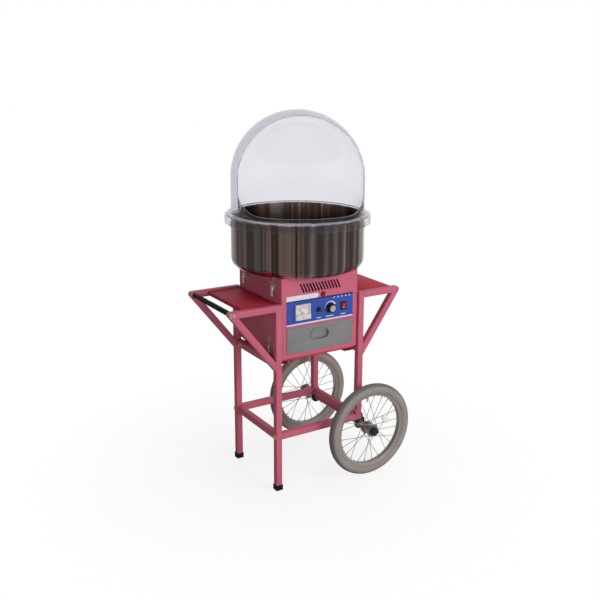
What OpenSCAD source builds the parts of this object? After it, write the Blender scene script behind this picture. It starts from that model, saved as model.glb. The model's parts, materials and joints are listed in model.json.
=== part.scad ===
// Cotton candy cart: a spinning-head candy machine standing in a wheeled tube cart.
// X runs from the handle to the wheels, Y from the front to the back, Z up, in millimetres.
// The origin lies on the floor under the axis of the bowl.

/* [Cart frame] */
// Outside section of the square frame tube
tube = 25; // [22:0.5:28]
// Wall of the frame tube
tube_wall = 1.5; // [1:0.1:2.5]
// Height of the upper faces of the shelf arms
shelf_z = 755; // [720:1:800]
// Depth of the machine rails' upper faces below the shelf arms
machine_sink = 224; // [200:1:240]
// Gap between the machine's sides and the legs
leg_gap = 4; // [4:0.5:12]
// Distance of the legs' outer faces before and behind the machine
leg_proud = 10; // [5:1:30]
// Reach of the handle-side arms beyond the legs
left_reach = 191; // [170:1:220]
// Reach of the wheel-side arms beyond the legs
right_reach = 173; // [150:1:190]
// Depth below the arms at which the braces' centre lines meet the legs
brace_drop = 242; // [200:1:280]
// Width of the ledge that carries the machine's feet
ledge_w = 50; // [45:1:60]
// Thickness of that ledge
ledge_t = 3; // [2:0.5:5]
// Depth of the ledge below the machine rails' upper faces
ledge_drop = 16; // [10:1:20]

/* [Shelves and handle] */
// Thickness of the shelf plates
plate_t = 2; // [1.5:0.1:3]
// Depth of the shelf plates below the arms' upper faces
plate_drop = 6; // [0:0.5:10]
// Depth of the folded plate edges
plate_lip = 14; // [8:1:20]
// Reach of the handle-side plate beyond the legs
left_plate_reach = 118; // [90:1:130]
// Reach of the wheel-side plate beyond the legs
right_plate_reach = 158; // [120:1:170]
// Gap between a plate and the machine
plate_gap = 2; // [1:0.5:4]
// Diameter of the handle bar
handle_d = 14; // [12:0.5:18]
// Diameter of the rubber grip
grip_d = 20; // [19:0.5:26]
// Distance of the handle's axis from the tips of its arms
handle_inset = 15; // [12:0.5:18]

/* [Wheels] */
// Outer radius of the tyre
wheel_r = 192.5; // [180:0.5:210]
// Width of the tyre's round section
tyre_w = 44; // [40:0.5:48]
// Radius of the rim where the tyre sits on it
rim_r = 156; // [152:0.5:160]
// Radial depth of the rim
rim_depth = 12; // [9:0.5:16]
// Width of the rim at the tyre
rim_w = 30; // [26:0.5:32]
// Wall of the rim
rim_wall = 2; // [1.5:0.1:3]
// Number of spokes in a wheel
spoke_count = 24; // [16:4:32]
// Diameter of a spoke
spoke_d = 2.2; // [1.8:0.1:2.6]
// Angle on the wheel between a spoke's two ends
spoke_cross = 60; // [40:5:75]
// Radius of a hub flange
hub_flange_r = 27; // [25:0.5:34]
// Radius of the hub between its flanges
hub_r = 19; // [18:0.5:22]
// Length of the hub
hub_l = 56; // [50:1:60]
// Diameter of the axle rod
axle_d = 12; // [10:0.5:14]
// Outer diameter of the axle tube
axle_tube_d = 22; // [20:0.5:26]
// Height of the frame's underside above the axle
axle_drop = 20.5; // [18:0.5:40]
// Distance of the axle inside the legs' outer faces
axle_inset = 1.5; // [0:0.5:6]
// Distance of the wheels' middle planes outside the legs
wheel_out = 60; // [55:1:66]

/* [Machine] */
// Width of the casing
machine_w = 342; // [325:1:360]
// Depth of the casing
machine_d = 336; // [310:1:350]
// Height of the casing
machine_h = 316; // [305:1:340]
// Thickness of the casing's sheet
sheet = 1.5; // [1:0.1:2]
// Height of the base pan under the casing
pan_h = 9; // [6:0.5:14]
// Inset of the base pan from the casing's sides
pan_inset = 8; // [5:0.5:14]
// Height of the machine's rubber feet
foot_h = 10; // [8:0.5:16]
// Diameter of the machine's rubber feet
foot_d = 30; // [22:1:32]
// Number of vent slots on the front
vent_count = 13; // [7:2:15]
// Spacing of the vent slots
vent_pitch = 13.6; // [11:0.1:15]
// Length of a vent slot
vent_l = 40; // [30:1:42]
// Width of a vent slot
vent_w = 7; // [4:0.5:7]
// Lean of the vent slots
vent_lean = 26; // [0:1:30]
// Height of the vent slots' middle above the casing's lower edge
vent_z = 269; // [262:1:276]

/* [Control panel] */
// Width of the control panel
panel_w = 300; // [290:1:310]
// Height of the control panel
panel_h = 96; // [92:1:106]
// Thickness of the control panel
panel_t = 1.5; // [1:0.1:2.5]
// Height of the panel's lower edge above the casing's lower edge
panel_z = 129; // [126:1:134]
// Width of the voltmeter
meter_w = 65; // [62:1:76]
// Height of the voltmeter
meter_h = 59; // [58:1:70]
// Depth of the voltmeter before the panel
meter_t = 10; // [9:0.5:14]
// Place of the voltmeter across the panel
meter_x = -83; // [-90:1:-70]
// Place of the fuse holder across the panel
fuse_x = -8; // [-15:1:0]
// Diameter of the fuse holder's collar
fuse_d = 20; // [18:0.5:24]
// Place of the heat knob across the panel
knob_x = 44; // [40:1:52]
// Diameter of the heat knob's skirt
knob_d = 41; // [34:1:46]
// Height of the heat knob
knob_h = 20; // [16:0.5:26]
// Place of the power switch across the panel
switch_x = 105; // [96:1:118]
// Width of the switch bezel
switch_w = 26; // [24:0.5:30]
// Height of the switch bezel
switch_h = 34; // [32:0.5:38]
// Diameter of the pilot lamp's ring
lamp_d = 18; // [10:0.5:20]
// Place of the pilot lamp across the casing
lamp_x = 12; // [0:1:30]

/* [Drawer] */
// Width of the drawer front
drawer_w = 300; // [296:1:310]
// Height of the drawer front
drawer_h = 102; // [100:1:106]
// Thickness of the drawer front
drawer_t = 2.5; // [2:0.1:4]
// Height of the drawer front's lower edge above the casing's lower edge
drawer_z = 18; // [16:0.5:20]
// Width of the drawer tray
tray_w = 284; // [276:1:286]
// Length of the drawer tray
tray_l = 250; // [220:1:270]
// Height of the drawer tray
tray_h = 84; // [70:1:86]
// Wall of the drawer tray
tray_wall = 1.2; // [1:0.1:2]
// Height of the tray's underside above the casing's lower edge
tray_z = 23.3; // [22:0.1:26]
// Width of the drawer's flush pull
pull_w = 88; // [70:1:96]
// Height of the drawer's flush pull
pull_h = 50; // [40:1:56]
// Depth of the pull's dish behind the drawer front
pull_depth = 12; // [8:0.5:16]

/* [Bowl] */
// Outer radius of the bowl
bowl_r = 260; // [250:1:275]
// Height of the bowl
bowl_h = 209; // [190:1:230]
// Thickness of the bowl's sheet
bowl_t = 1.5; // [1:0.1:2]
// Outer radius of the bowl's lower edge
bowl_corner = 40; // [25:1:45]
// Width of the bowl's turned-out rim
bowl_rim_w = 17; // [14:0.5:20]
// Radius of the hole in the bowl's floor
bowl_hole_r = 30; // [26:0.5:36]
// Height of the collar round that hole
collar_h = 25; // [15:1:30]

/* [Spinner] */
// Radius of the spinner head
head_r = 62; // [52:1:72]
// Height of the head's dish
head_h = 30; // [24:1:36]
// Height of the heater ring on the dish
heater_h = 18; // [12:1:24]
// Number of slits in the heater ring
slit_count = 36; // [18:2:48]
// Height of the head's underside above the casing
head_z = 38; // [34:1:50]
// Diameter of the spinner shaft
shaft_d = 12; // [10:0.5:14]
// Diameter of the motor
motor_d = 104; // [90:1:120]
// Length of the motor
motor_l = 110; // [95:1:120]
// Length of the studs that hang the motor bracket from the casing
stud_l = 65; // [60:1:72]

/* [Dome] */
// Gap round the dome's wall to the bowl's outside
dome_inset = 1; // [0.5:0.5:4]
// Thickness of the dome
dome_t = 3; // [2:0.1:5]
// Height of the dome's straight wall
dome_wall_h = 131; // [90:1:170]
// Height of the skirt round the bowl's rim
skirt_h = 32; // [26:1:40]
// Outer radius of the dome's shoulder
shoulder_r = 10; // [6:0.5:10]
// Distance of the hand opening's plane from the dome's axis
opening_plane = 95; // [70:1:130]
// Turn of the hand opening away from the front, towards the handle
opening_turn = 23; // [0:1:45]
// Height of the opening's sill above the bowl's rim
opening_sill = 18; // [12:1:30]
// Radius of the opening's lower corners
opening_corner = 75; // [50:1:90]

/* [Latches] */
// Distance of the latches before and behind the bowl's axis
latch_y = 115; // [100:1:120]
// Depth of a latch lever's pin below the casing's top
latch_drop = 38; // [36:0.5:44]
// Distance between a lever's pin and its loop
latch_throw = 9; // [8:0.25:9.5]
// Length of a lever below its pin
lever_l = 36; // [30:1:40]
// Width of a lever
lever_w = 12; // [10:0.5:14]
// Diameter of the loop's wire
wire_d = 2.5; // [2:0.1:3]

/* [Hidden] */
$fn = 96;

// Overrun of every cut
over = 1;
// Radial running fit of a shaft or pin
run_fit = 0.05;
// Clearance between pieces that move past each other
clear = 0.3;

// Colours
pink = [0.82, 0.27, 0.38];
deep_pink = [0.62, 0.12, 0.2];
steel = [0.75, 0.75, 0.76];
dark_steel = [0.42, 0.4, 0.4];
black = [0.07, 0.07, 0.08];
rubber = [0.12, 0.12, 0.12];
tyre_grey = [0.42, 0.39, 0.38];
brass = [0.75, 0.6, 0.3];

// Frame
frame_w = machine_w + 2 * (leg_gap + tube);
frame_d = machine_d + 2 * leg_proud;
tube_bore = tube - 2 * tube_wall;
leg_x = (frame_w - tube) / 2;
leg_y = (frame_d - tube) / 2;
span_x = frame_w - 2 * tube;
span_y = frame_d - 2 * tube;
lower_rail_bottom = wheel_r + axle_drop;
lower_rail_mid = lower_rail_bottom + tube / 2;
machine_rail_z = shelf_z - machine_sink;
ledge_z = machine_rail_z - ledge_drop;
arm_mid = shelf_z - tube / 2;
plate_z = shelf_z - plate_drop;
weld_gap = 0.2;
cap_wall = 4;
cap_sole = 5;
cap_h = 22;
bolt_d = 6;
bolt_head_d = 12;
bolt_head_h = 4;
bolt_play = 0.2;

// Handle
handle_bolt_d = 8;
handle_bolt_head_d = 16;
handle_bolt_head_h = 6;
handle_bolt_grip = 30;
grip_end = 3;
handle_x = -(frame_w / 2 + left_reach - handle_inset);

// Wheels
axle_x = frame_w / 2 - axle_inset;
wheel_y = frame_d / 2 + wheel_out;
bracket_t = 6;
bracket_r = 24;
bearing_r = 16;
bearing_w = 10;
bearing_set = 0.5;
flange_t = 3;
flange_set = 8;
washer_t = 2;
washer_d = 24;
nut_h = 9;
nut_d = 21;
axle_end = 2;
spacer_d = 18;
axle_tube_wall = 2.5;
rim_taper_share = 0.6;
spoke_pitch = 360 / spoke_count;
spoke_hub_r = hub_flange_r - flange_t;
spoke_play = 0.2;
spoke_rise = 1.2;
spoke_turn = -24;
rim_offset = 2;
tyre_mid_r = wheel_r - tyre_w / 2;
rim_inner_r = rim_r - rim_depth;
nipple_d = 4;
nipple_l = 9;
nipple_gap = 0.7;
reflector_l = 44;
reflector_w = 22;
reflector_t = 5;
reflector_share = 0.46;

// Machine
casing_z = ledge_z + foot_h + pan_h;
casing_top = casing_z + machine_h;
front_y = -machine_d / 2;
back_y = machine_d / 2;
foot_inset = 24;
top_hole_r = 25;
gland_x = 120;
gland_z = 40;
gland_d = 18;
gland_bore_d = 8;
gland_flange_d = 26;
gland_flange_t = 4;
gland_l = 16;
rear_vent_count = 9;
rear_vent_pitch = 20;
rear_vent_l = 70;
rear_vent_z = 230;

// Control panel
control_z = panel_h / 2;
panel_border = 10;
meter_band_share = 0.34;
meter_rise = 3;
meter_step = 3;
meter_rim = 4;
meter_floor = 3;
meter_barrel_d = 52;
meter_barrel_l = 30;
window_t = 2;
needle_pin_d = 1.6;
needle_hub_d = 5;
needle_l = 27;
needle_w = 1.2;
needle_t = 1;
needle_rest = 45;
needle_pivot_rise = 4;
fuse_collar_t = 4;
fuse_body_d = 13;
fuse_body_l = 34;
fuse_bore_d = 9.5;
fuse_cap_d = 15;
fuse_cap_h = 6;
fuse_spigot_d = 9.1;
fuse_spigot_l = 20;
fuse_slot_w = 2;
fuse_slot_depth = 2.5;
knob_skirt_h = 4;
knob_grip_share = 0.82;
knob_cap_share = 0.6;
knob_cap_t = 1;
knob_shaft_d = 6;
knob_shaft_l = 24;
knob_well_d = 15;
knob_well_h = 4;
bush_d = 10;
bush_proud = 3;
regulator_w = 46;
regulator_l = 28;
bezel_t = 3;
bezel_border = 4;
switch_wall = 2;
switch_depth = 20;
rocker_pivot_z = -3;
rocker_face = 7.5;
rocker_slope = 10;
trunnion_d = 3;
trunnion_l = 1.5;
lamp_t = 2;
lamp_lens_share = 0.72;
lamp_shank_d = 8;
lamp_shank_l = 18;
lamp_gap = 1.5;
meter_band_h = meter_h * meter_band_share;
meter_face_w = meter_w - 2 * meter_rim;
meter_face_h = meter_h - meter_band_h - meter_rim;
meter_face_y = meter_band_h - meter_h / 2;
needle_y = meter_face_y + needle_pivot_rise;
meter_z = control_z + meter_rise;
switch_body_w = switch_w - bezel_border;
switch_body_h = switch_h - bezel_border;
rocker_w = switch_body_w - 2 * switch_wall;
rocker_r = switch_body_h / 2 - switch_wall - clear;
lamp_z = panel_z + panel_h + lamp_d / 2 + lamp_gap;

// Drawer
tray_gap = 2;
runner_t = 2;
runner_w = 15;
runner_inset = 4;
pull_ring = 5;
pull_ring_t = 2;
pull_wall = 1.2;
pull_rise = 10;
pull_z = drawer_z + drawer_h / 2 + pull_rise;

// Spinner
motor_plate_t = 3;
motor_plate_w = 150;
stud_d = 8;
stud_span = 120;
motor_top = casing_top - sheet - stud_l - motor_plate_t;
motor_cap_share = 0.8;
motor_cap_l = 14;
motor_socket = 80;
plate_hole_r = 16;
drum_r = 15;
drum_base = 12;
drum_h = 40;
drum_z = motor_top + motor_plate_t + drum_base;
ring_r = 19;
ring_h = 8;
ring_step = 18;
ring_base = 6;
brush_w = 6;
block_w = 20;
block_x = 40;
head_wall = 3;
head_floor = 4;
head_boss_d = 24;
head_boss_h = 14;
heater_t = 2.5;
heater_z = casing_top + head_z + head_h;
slit_w = 1.2;
slit_share = 0.7;
cap_t = 3;
cap_hole_r = 36;

// Bowl and dome
bowl_z = casing_top;
rim_z = bowl_z + bowl_h;
bead_r = 3;
skirt_gap = 4;
dome_r = bowl_r - dome_inset;
dome_flange_r = bowl_r + bowl_rim_w + skirt_gap + dome_t;
dome_z = rim_z + clear;
opening_half = sqrt(dome_r * dome_r - opening_plane * opening_plane) - dome_t;

// Latches, measured outwards from the casing's side and upwards from the lever's pin
latch_z = casing_top - latch_drop;
latch_base_t = 1.5;
pin_off = latch_base_t + 7;
latch_pin_d = 3;
ear_t = 1.5;
ear_r = 4;
latch_base_w = 2 * (lever_w / 2 + clear + ear_t);
pin_end = 0.2;
latch_base_up = 12;
latch_base_down = 16;
loop_gap = 0.35;
loop_half = latch_base_w / 2 + pin_end + loop_gap + wire_d / 2;
loop_top = 20;
keeper_t = 2;
keeper_gap = 2.5;
keeper_w = lever_w;
keeper_reach = 16;
keeper_lip = 2;
keeper_seat = 0.2;

// Square tube of length l standing on z = 0, closed by its own wall where cap is true
module square_tube(l, cap = false) {
  hollow = cap ? l - tube_wall + over : l + 2 * over;
  difference() {
    translate([-tube / 2, -tube / 2, 0]) cube([tube, tube, l]);
    translate([-tube_bore / 2, -tube_bore / 2, -over]) cube([tube_bore, tube_bore, hollow]);
  }
}

module tube_along_x(l) {
  translate([-l / 2, 0, 0]) rotate([90, 0, 90]) square_tube(l);
}

module tube_along_y(l) {
  translate([0, l / 2, 0]) rotate([90, 0, 0]) square_tube(l);
}

// Domed bolt along Z, seated at z = 0 with its head upwards
module domed_bolt(head_d, head_h, shank_d, shank_l) {
  ball_r = (head_d * head_d / 4 + head_h * head_h) / (2 * head_h);
  intersection() {
    translate([0, 0, head_h - ball_r]) sphere(r = ball_r);
    cylinder(d = head_d, h = head_h);
  }
  translate([0, 0, -shank_l]) cylinder(d = shank_d, h = shank_l);
}

module round_tube(d_out, d_in, l) {
  difference() {
    cylinder(d = d_out, h = l);
    translate([0, 0, -over]) cylinder(d = d_in, h = l + 2 * over);
  }
}

// Straight rod from point p to point q
module rod(p, q, d) {
  v = q - p;
  l = norm(v);
  translate(p) rotate([0, acos(v[2] / l), atan2(v[1], v[0])]) cylinder(d = d, h = l);
}

// Flat outline with round ends, centred
module stadium(w, h) {
  square([w - h, h], center = true);
  for (s = [-1, 1]) translate([s * (w - h) / 2, 0]) circle(d = h);
}

// Local frames: a leg's bolt line, a shelf bracket, the front faces, a wheel and a latch
module at_leg_bolt(sx, sy) {
  translate([sx * frame_w / 2, sy * leg_y, lower_rail_mid]) rotate([0, sx * 90, 0]) children();
}

// Thickness that a leg's bolt clamps to the leg's outer face
function clamped(sx) = sx > 0 ? bracket_t : 0;

module at_bracket(sx, sy) {
  translate([sx * frame_w / 2, sy * leg_y, 0]) mirror([sx < 0 ? 1 : 0, 0, 0]) rotate([90, 0, 0]) children();
}

module on_casing(x, z) {
  translate([x, front_y, casing_z + z]) rotate([90, 0, 0]) children();
}

module on_panel(x, z) {
  translate([x, front_y - panel_t, casing_z + panel_z + z]) rotate([90, 0, 0]) children();
}

module at_wheel(sy) {
  translate([axle_x, sy * wheel_y, wheel_r]) rotate([-90 * sy, 0, 0]) children();
}

module at_latch(sx, sy) {
  translate([sx * machine_w / 2, sy * latch_y, latch_z]) mirror([sx < 0 ? 1 : 0, 0, 0]) children();
}

// Legs and rails
module leg(sx, sy, bottom) {
  difference() {
    translate([sx * leg_x, sy * leg_y, bottom]) square_tube(shelf_z - bottom, cap = true);
    at_leg_bolt(sx, sy) translate([0, 0, -tube - over])
      cylinder(d = bolt_d + 2 * bolt_play, h = tube + 2 * over);
  }
}

module left_legs() {
  color(pink) for (sy = [-1, 1]) leg(-1, sy, cap_sole);
}

module right_legs() {
  color(pink) for (sy = [-1, 1]) leg(1, sy, lower_rail_bottom);
}

module lower_rails() {
  color(pink) {
    for (sy = [-1, 1]) translate([0, sy * leg_y, lower_rail_mid]) tube_along_x(span_x);
    for (sx = [-1, 1]) translate([sx * leg_x, 0, lower_rail_mid]) tube_along_y(span_y);
  }
}

module machine_rails() {
  color(pink) for (sx = [-1, 1]) mirror([sx < 0 ? 1 : 0, 0, 0]) {
    translate([leg_x, 0, machine_rail_z - tube / 2]) tube_along_y(span_y);
    translate([span_x / 2 - ledge_w, -span_y / 2, ledge_z - ledge_t])
      cube([ledge_w + tube_wall, span_y, ledge_t]);
  }
}

// Side outline of an arm, from the leg outwards, with its rounded tip; w is the outline's full height
module arm_outline(reach, w) {
  translate([0, arm_mid - w / 2]) square([reach - tube / 2, w]);
  translate([reach - tube / 2, arm_mid]) circle(d = w);
}

module arm(reach) {
  difference() {
    linear_extrude(tube, center = true) arm_outline(reach, tube);
    translate([-over, 0, 0]) linear_extrude(tube_bore, center = true) arm_outline(reach, tube_bore);
  }
}

module shelf_arms() {
  color(pink) for (sy = [-1, 1]) {
    difference() {
      at_bracket(-1, sy) arm(left_reach);
      translate([handle_x, sy * leg_y, arm_mid]) rotate([90, 0, 0])
        cylinder(d = handle_bolt_d + 2 * bolt_play, h = tube + 2 * over, center = true);
    }
    at_bracket(1, sy) arm(right_reach);
  }
}

// Straight bar of width w from the arm's tip down through the leg's face
module brace_bar(reach, w) {
  run = reach - tube / 2;
  fall = brace_drop - tube / 2;
  translate([run, arm_mid]) rotate(180 + atan2(fall, run)) translate([0, -w / 2])
    square([norm([run, fall]) + 2 * tube, w]);
}

// Brace from the underside of an arm's tip to the leg
module brace(reach) {
  difference() {
    linear_extrude(tube, center = true) difference() {
      intersection() {
        brace_bar(reach, tube);
        square([reach, arm_mid]);
      }
      arm_outline(reach, tube + 2 * weld_gap);
    }
    linear_extrude(tube_bore, center = true) brace_bar(reach, tube_bore);
  }
}

module shelf_braces() {
  color(pink) for (sy = [-1, 1]) {
    at_bracket(-1, sy) brace(left_reach);
    at_bracket(1, sy) brace(right_reach);
  }
}

// Shelf plate with both long edges folded down, running from the machine to its reach beyond the legs
module shelf_plate(reach) {
  inner = machine_w / 2 + plate_gap;
  outer = frame_w / 2 + reach;
  translate([inner, -span_y / 2, plate_z - plate_t]) cube([outer - inner, span_y, plate_t]);
  for (x = [inner, outer - plate_t])
    translate([x, -span_y / 2, plate_z - plate_lip]) cube([plate_t, span_y, plate_lip]);
}

module shelf_plates() {
  color(deep_pink) {
    mirror([1, 0, 0]) shelf_plate(left_plate_reach);
    shelf_plate(right_plate_reach);
  }
}

module handle_bar() {
  color(steel) translate([handle_x, span_y / 2, arm_mid]) rotate([90, 0, 0]) difference() {
    cylinder(d = handle_d, h = span_y);
    for (z = [-over, span_y - handle_bolt_grip])
      translate([0, 0, z]) cylinder(d = handle_bolt_d, h = handle_bolt_grip + over);
  }
}

module handle_grip() {
  color(black) translate([handle_x, span_y / 2 - grip_end, arm_mid]) rotate([90, 0, 0])
    round_tube(grip_d, handle_d, span_y - 2 * grip_end);
}

// Spacer, washer and nut on one end of the axle, along the wheel's outward axis
module axle_hardware() {
  inner_end = bracket_t / 2 + leg_y - wheel_y;
  bearing_end = hub_l / 2 - bearing_set;
  translate([0, 0, inner_end]) round_tube(spacer_d, axle_d, -bearing_end - inner_end);
  translate([0, 0, bearing_end]) round_tube(washer_d, axle_d, washer_t);
  translate([0, 0, bearing_end + washer_t]) difference() {
    cylinder(d = nut_d, h = nut_h, $fn = 6);
    translate([0, 0, -over]) cylinder(d = axle_d, h = nut_h + 2 * over);
  }
}

module fasteners() {
  handle_shank_d = handle_bolt_d - 2 * run_fit;
  handle_shank_l = tube + handle_bolt_grip - over;
  color(steel) {
    for (sx = [-1, 1], sy = [-1, 1])
      at_leg_bolt(sx, sy) translate([0, 0, clamped(sx)])
        domed_bolt(bolt_head_d, bolt_head_h, bolt_d, clamped(sx) + tube + bolt_head_d);
    for (sy = [-1, 1])
      translate([handle_x, sy * frame_d / 2, arm_mid]) rotate([-90 * sy, 0, 0])
        domed_bolt(handle_bolt_head_d, handle_bolt_head_h, handle_shank_d, handle_shank_l);
    for (sy = [-1, 1]) at_wheel(sy) axle_hardware();
  }
}

module leg_feet() {
  outer = tube + cap_wall;
  color(rubber) for (sy = [-1, 1]) translate([-leg_x, sy * leg_y, 0]) difference() {
    translate([-outer / 2, -outer / 2, 0]) cube([outer, outer, cap_h]);
    translate([-tube / 2, -tube / 2, cap_sole]) cube([tube, tube, cap_h]);
  }
}

// Axle and wheels
// Plate under a leg, round below, with a tab up the leg's outer face
module axle_bracket() {
  translate([axle_x, 0, wheel_r]) rotate([90, 0, 0]) linear_extrude(bracket_t, center = true) difference() {
    union() {
      intersection() {
        circle(r = bracket_r);
        translate([-bracket_r, -bracket_r]) square([2 * bracket_r, bracket_r]);
      }
      translate([-bracket_r, 0]) square([2 * bracket_r, axle_drop]);
    }
    circle(d = axle_d);
  }
  translate([frame_w / 2, -tube / 2, lower_rail_bottom - bracket_t])
    cube([bracket_t, tube, tube + bracket_t]);
}

module axle_brackets() {
  hole_l = bracket_t + 2 * over;
  color(black) for (sy = [-1, 1]) difference() {
    translate([0, sy * leg_y, 0]) axle_bracket();
    at_leg_bolt(1, sy) translate([0, 0, -over]) cylinder(d = bolt_d + 2 * bolt_play, h = hole_l);
  }
}

module axle_tube() {
  l = 2 * leg_y - bracket_t;
  color(deep_pink) translate([axle_x, l / 2, wheel_r]) rotate([90, 0, 0])
    round_tube(axle_tube_d, axle_tube_d - 2 * axle_tube_wall, l);
}

module axle_rod() {
  l = 2 * (wheel_y + hub_l / 2 - bearing_set + washer_t + nut_h + axle_end);
  color(steel) translate([axle_x, l / 2, wheel_r]) rotate([90, 0, 0]) cylinder(d = axle_d, h = l);
}

module wheel_bearings() {
  color(steel) for (sy = [-1, 1], z = [bearing_set - hub_l / 2, hub_l / 2 - bearing_set - bearing_w])
    at_wheel(sy) translate([0, 0, z]) round_tube(2 * bearing_r, axle_d, bearing_w);
}

module hub() {
  rotate_extrude() difference() {
    union() {
      translate([0, -hub_l / 2]) square([hub_r, hub_l]);
      for (s = [-1, 1])
        translate([0, s * (hub_l / 2 - flange_set) - flange_t / 2]) square([hub_flange_r, flange_t]);
    }
    translate([0, -hub_l / 2 - over]) square([bearing_r + run_fit, hub_l + 2 * over]);
  }
}

module front_hub() {
  color(black) at_wheel(-1) hub();
}

module back_hub() {
  color(black) at_wheel(1) hub();
}

module tyre() {
  rotate_extrude() difference() {
    translate([tyre_mid_r, 0]) circle(d = tyre_w);
    translate([rim_r - tyre_w, -tyre_w]) square([tyre_w, 2 * tyre_w]);
  }
}

module front_tyre() {
  color(tyre_grey) at_wheel(-1) tyre();
}

module back_tyre() {
  color(tyre_grey) at_wheel(1) tyre();
}

// Section of the rim, w wide at the tyre, from radius inner to radius outer
module rim_section(w, inner, outer) {
  base = w * rim_taper_share;
  polygon([[inner, -base / 2], [outer, -w / 2], [outer, w / 2], [inner, base / 2]]);
}

module rim() {
  rotate_extrude() difference() {
    rim_section(rim_w, rim_inner_r, rim_r);
    rim_section(rim_w - 2 * rim_wall, rim_inner_r + rim_wall, rim_r + over);
  }
}

// Flange that spoke k hangs on, and the way it leans; those that lean forwards run outside their flange
function spoke_side(k) = k % 2 == 0 ? 1 : -1;
function spoke_lead(k) = floor(k / 2) % 2 == 0 ? 1 : -1;
function spoke_lift(k) = flange_t / 2 + spoke_d / 2 + spoke_play + (spoke_lead(k) > 0 ? spoke_rise : 0);

function on_circle(r, a, z) = [r * cos(a), r * sin(a), z];

function hub_end(k) = on_circle(
  spoke_hub_r, spoke_turn + k * spoke_pitch,
  spoke_side(k) * (hub_l / 2 - flange_set + spoke_lead(k) * spoke_lift(k))
);

function rim_end(k) = on_circle(
  rim_inner_r - nipple_gap, spoke_turn + k * spoke_pitch + spoke_lead(k) * spoke_cross,
  spoke_side(k) * rim_offset
);

// One spoke from its hub flange to the rim, ending in a nipple
module spoke(k) {
  p = hub_end(k);
  q = rim_end(k);
  rod(p, q, spoke_d);
  rod(q - (q - p) * nipple_l / norm(q - p), q, nipple_d);
}

module spoked_rim() {
  rim();
  for (k = [0:spoke_count - 1]) spoke(k);
}

// Reflector clipped flat on the first spoke of the front wheel
module spoke_reflector() {
  v = rim_end(0) - hub_end(0);
  color([0.9, 0.9, 0.86]) at_wheel(-1) translate(hub_end(0) + v * reflector_share)
    rotate([0, asin(-v[2] / norm(v)), atan2(v[1], v[0])]) translate([0, 0, spoke_d / 2 + clear])
      linear_extrude(reflector_t) rotate(90) stadium(reflector_l, reflector_w);
}

module front_rim() {
  color(steel) at_wheel(-1) spoked_rim();
}

module back_rim() {
  color(steel) at_wheel(1) spoked_rim();
}

// Machine casing
module vent_slots(count, pitch, l, w, lean) {
  for (k = [0:count - 1])
    translate([(k - (count - 1) / 2) * pitch, 0]) rotate(90 + lean) stadium(l, w);
}

module casing() {
  inner_w = machine_w - 2 * sheet;
  inner_d = machine_d - 2 * sheet;
  cut = sheet + 2 * over;
  color(pink) difference() {
    translate([-machine_w / 2, front_y, casing_z]) cube([machine_w, machine_d, machine_h]);
    translate([-inner_w / 2, front_y + sheet, casing_z - over])
      cube([inner_w, inner_d, machine_h - sheet + over]);
    translate([0, 0, casing_top - cut + over]) cylinder(r = top_hole_r, h = cut);
    on_casing(0, 0) translate([0, 0, over - cut]) linear_extrude(cut) {
      translate([-tray_w / 2 - tray_gap, tray_z - tray_gap])
        square([tray_w + 2 * tray_gap, tray_h + 2 * tray_gap]);
      translate([panel_border - panel_w / 2, panel_z + panel_border])
        square([panel_w - 2 * panel_border, panel_h - 2 * panel_border]);
      translate([0, vent_z]) vent_slots(vent_count, vent_pitch, vent_l, vent_w, vent_lean);
      translate([lamp_x, lamp_z]) circle(d = lamp_shank_d + 2 * bolt_play);
    }
    translate([0, back_y + over, casing_z]) rotate([90, 0, 0]) linear_extrude(cut) {
      translate([0, rear_vent_z]) vent_slots(rear_vent_count, rear_vent_pitch, rear_vent_l, vent_w, 0);
      translate([gland_x, gland_z]) circle(d = gland_d + 2 * bolt_play);
    }
  }
}

// Tray under the casing, with an outward flange that meets the casing's walls
module base_pan() {
  w = machine_w - 2 * pan_inset;
  d = machine_d - 2 * pan_inset;
  well_w = w - 2 * sheet;
  well_d = d - 2 * sheet;
  flange_w = machine_w - 2 * sheet;
  flange_d = machine_d - 2 * sheet;
  color(deep_pink) difference() {
    union() {
      translate([-w / 2, -d / 2, casing_z - pan_h]) cube([w, d, pan_h + sheet]);
      translate([-flange_w / 2, -flange_d / 2, casing_z]) cube([flange_w, flange_d, sheet]);
    }
    translate([-well_w / 2, -well_d / 2, casing_z - pan_h + sheet]) cube([well_w, well_d, pan_h + sheet]);
  }
}

module machine_feet() {
  color(rubber) for (sx = [-1, 1], sy = [-1, 1])
    translate([sx * (machine_w / 2 - foot_inset), sy * (machine_d / 2 - foot_inset), ledge_z])
      cylinder(d = foot_d, h = foot_h);
}

// Control panel and its fittings
module control_panel() {
  color([0.12, 0.27, 0.62]) on_casing(0, panel_z) linear_extrude(panel_t) difference() {
    translate([-panel_w / 2, 0]) square([panel_w, panel_h]);
    translate([meter_x, meter_z]) circle(d = meter_barrel_d + 2 * bolt_play);
    translate([fuse_x, control_z]) circle(d = fuse_body_d + 2 * bolt_play);
    translate([knob_x, control_z]) circle(d = bush_d + 2 * bolt_play);
    translate([switch_x, control_z]) square([switch_body_w, switch_body_h], center = true);
  }
}

module meter_case() {
  color([0.93, 0.92, 0.88]) on_panel(meter_x, meter_z) {
    difference() {
      union() {
        translate([-meter_w / 2, -meter_h / 2, 0]) cube([meter_w, meter_h, meter_t]);
        translate([-meter_w / 2, -meter_h / 2, 0]) cube([meter_w, meter_band_h, meter_t + meter_step]);
        translate([0, 0, -meter_barrel_l]) cylinder(d = meter_barrel_d, h = meter_barrel_l + over);
      }
      translate([-meter_face_w / 2, meter_face_y, meter_floor]) cube([meter_face_w, meter_face_h, meter_t]);
    }
    translate([0, needle_y, 0]) cylinder(d = needle_pin_d, h = meter_t - window_t - clear);
  }
}

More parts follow.
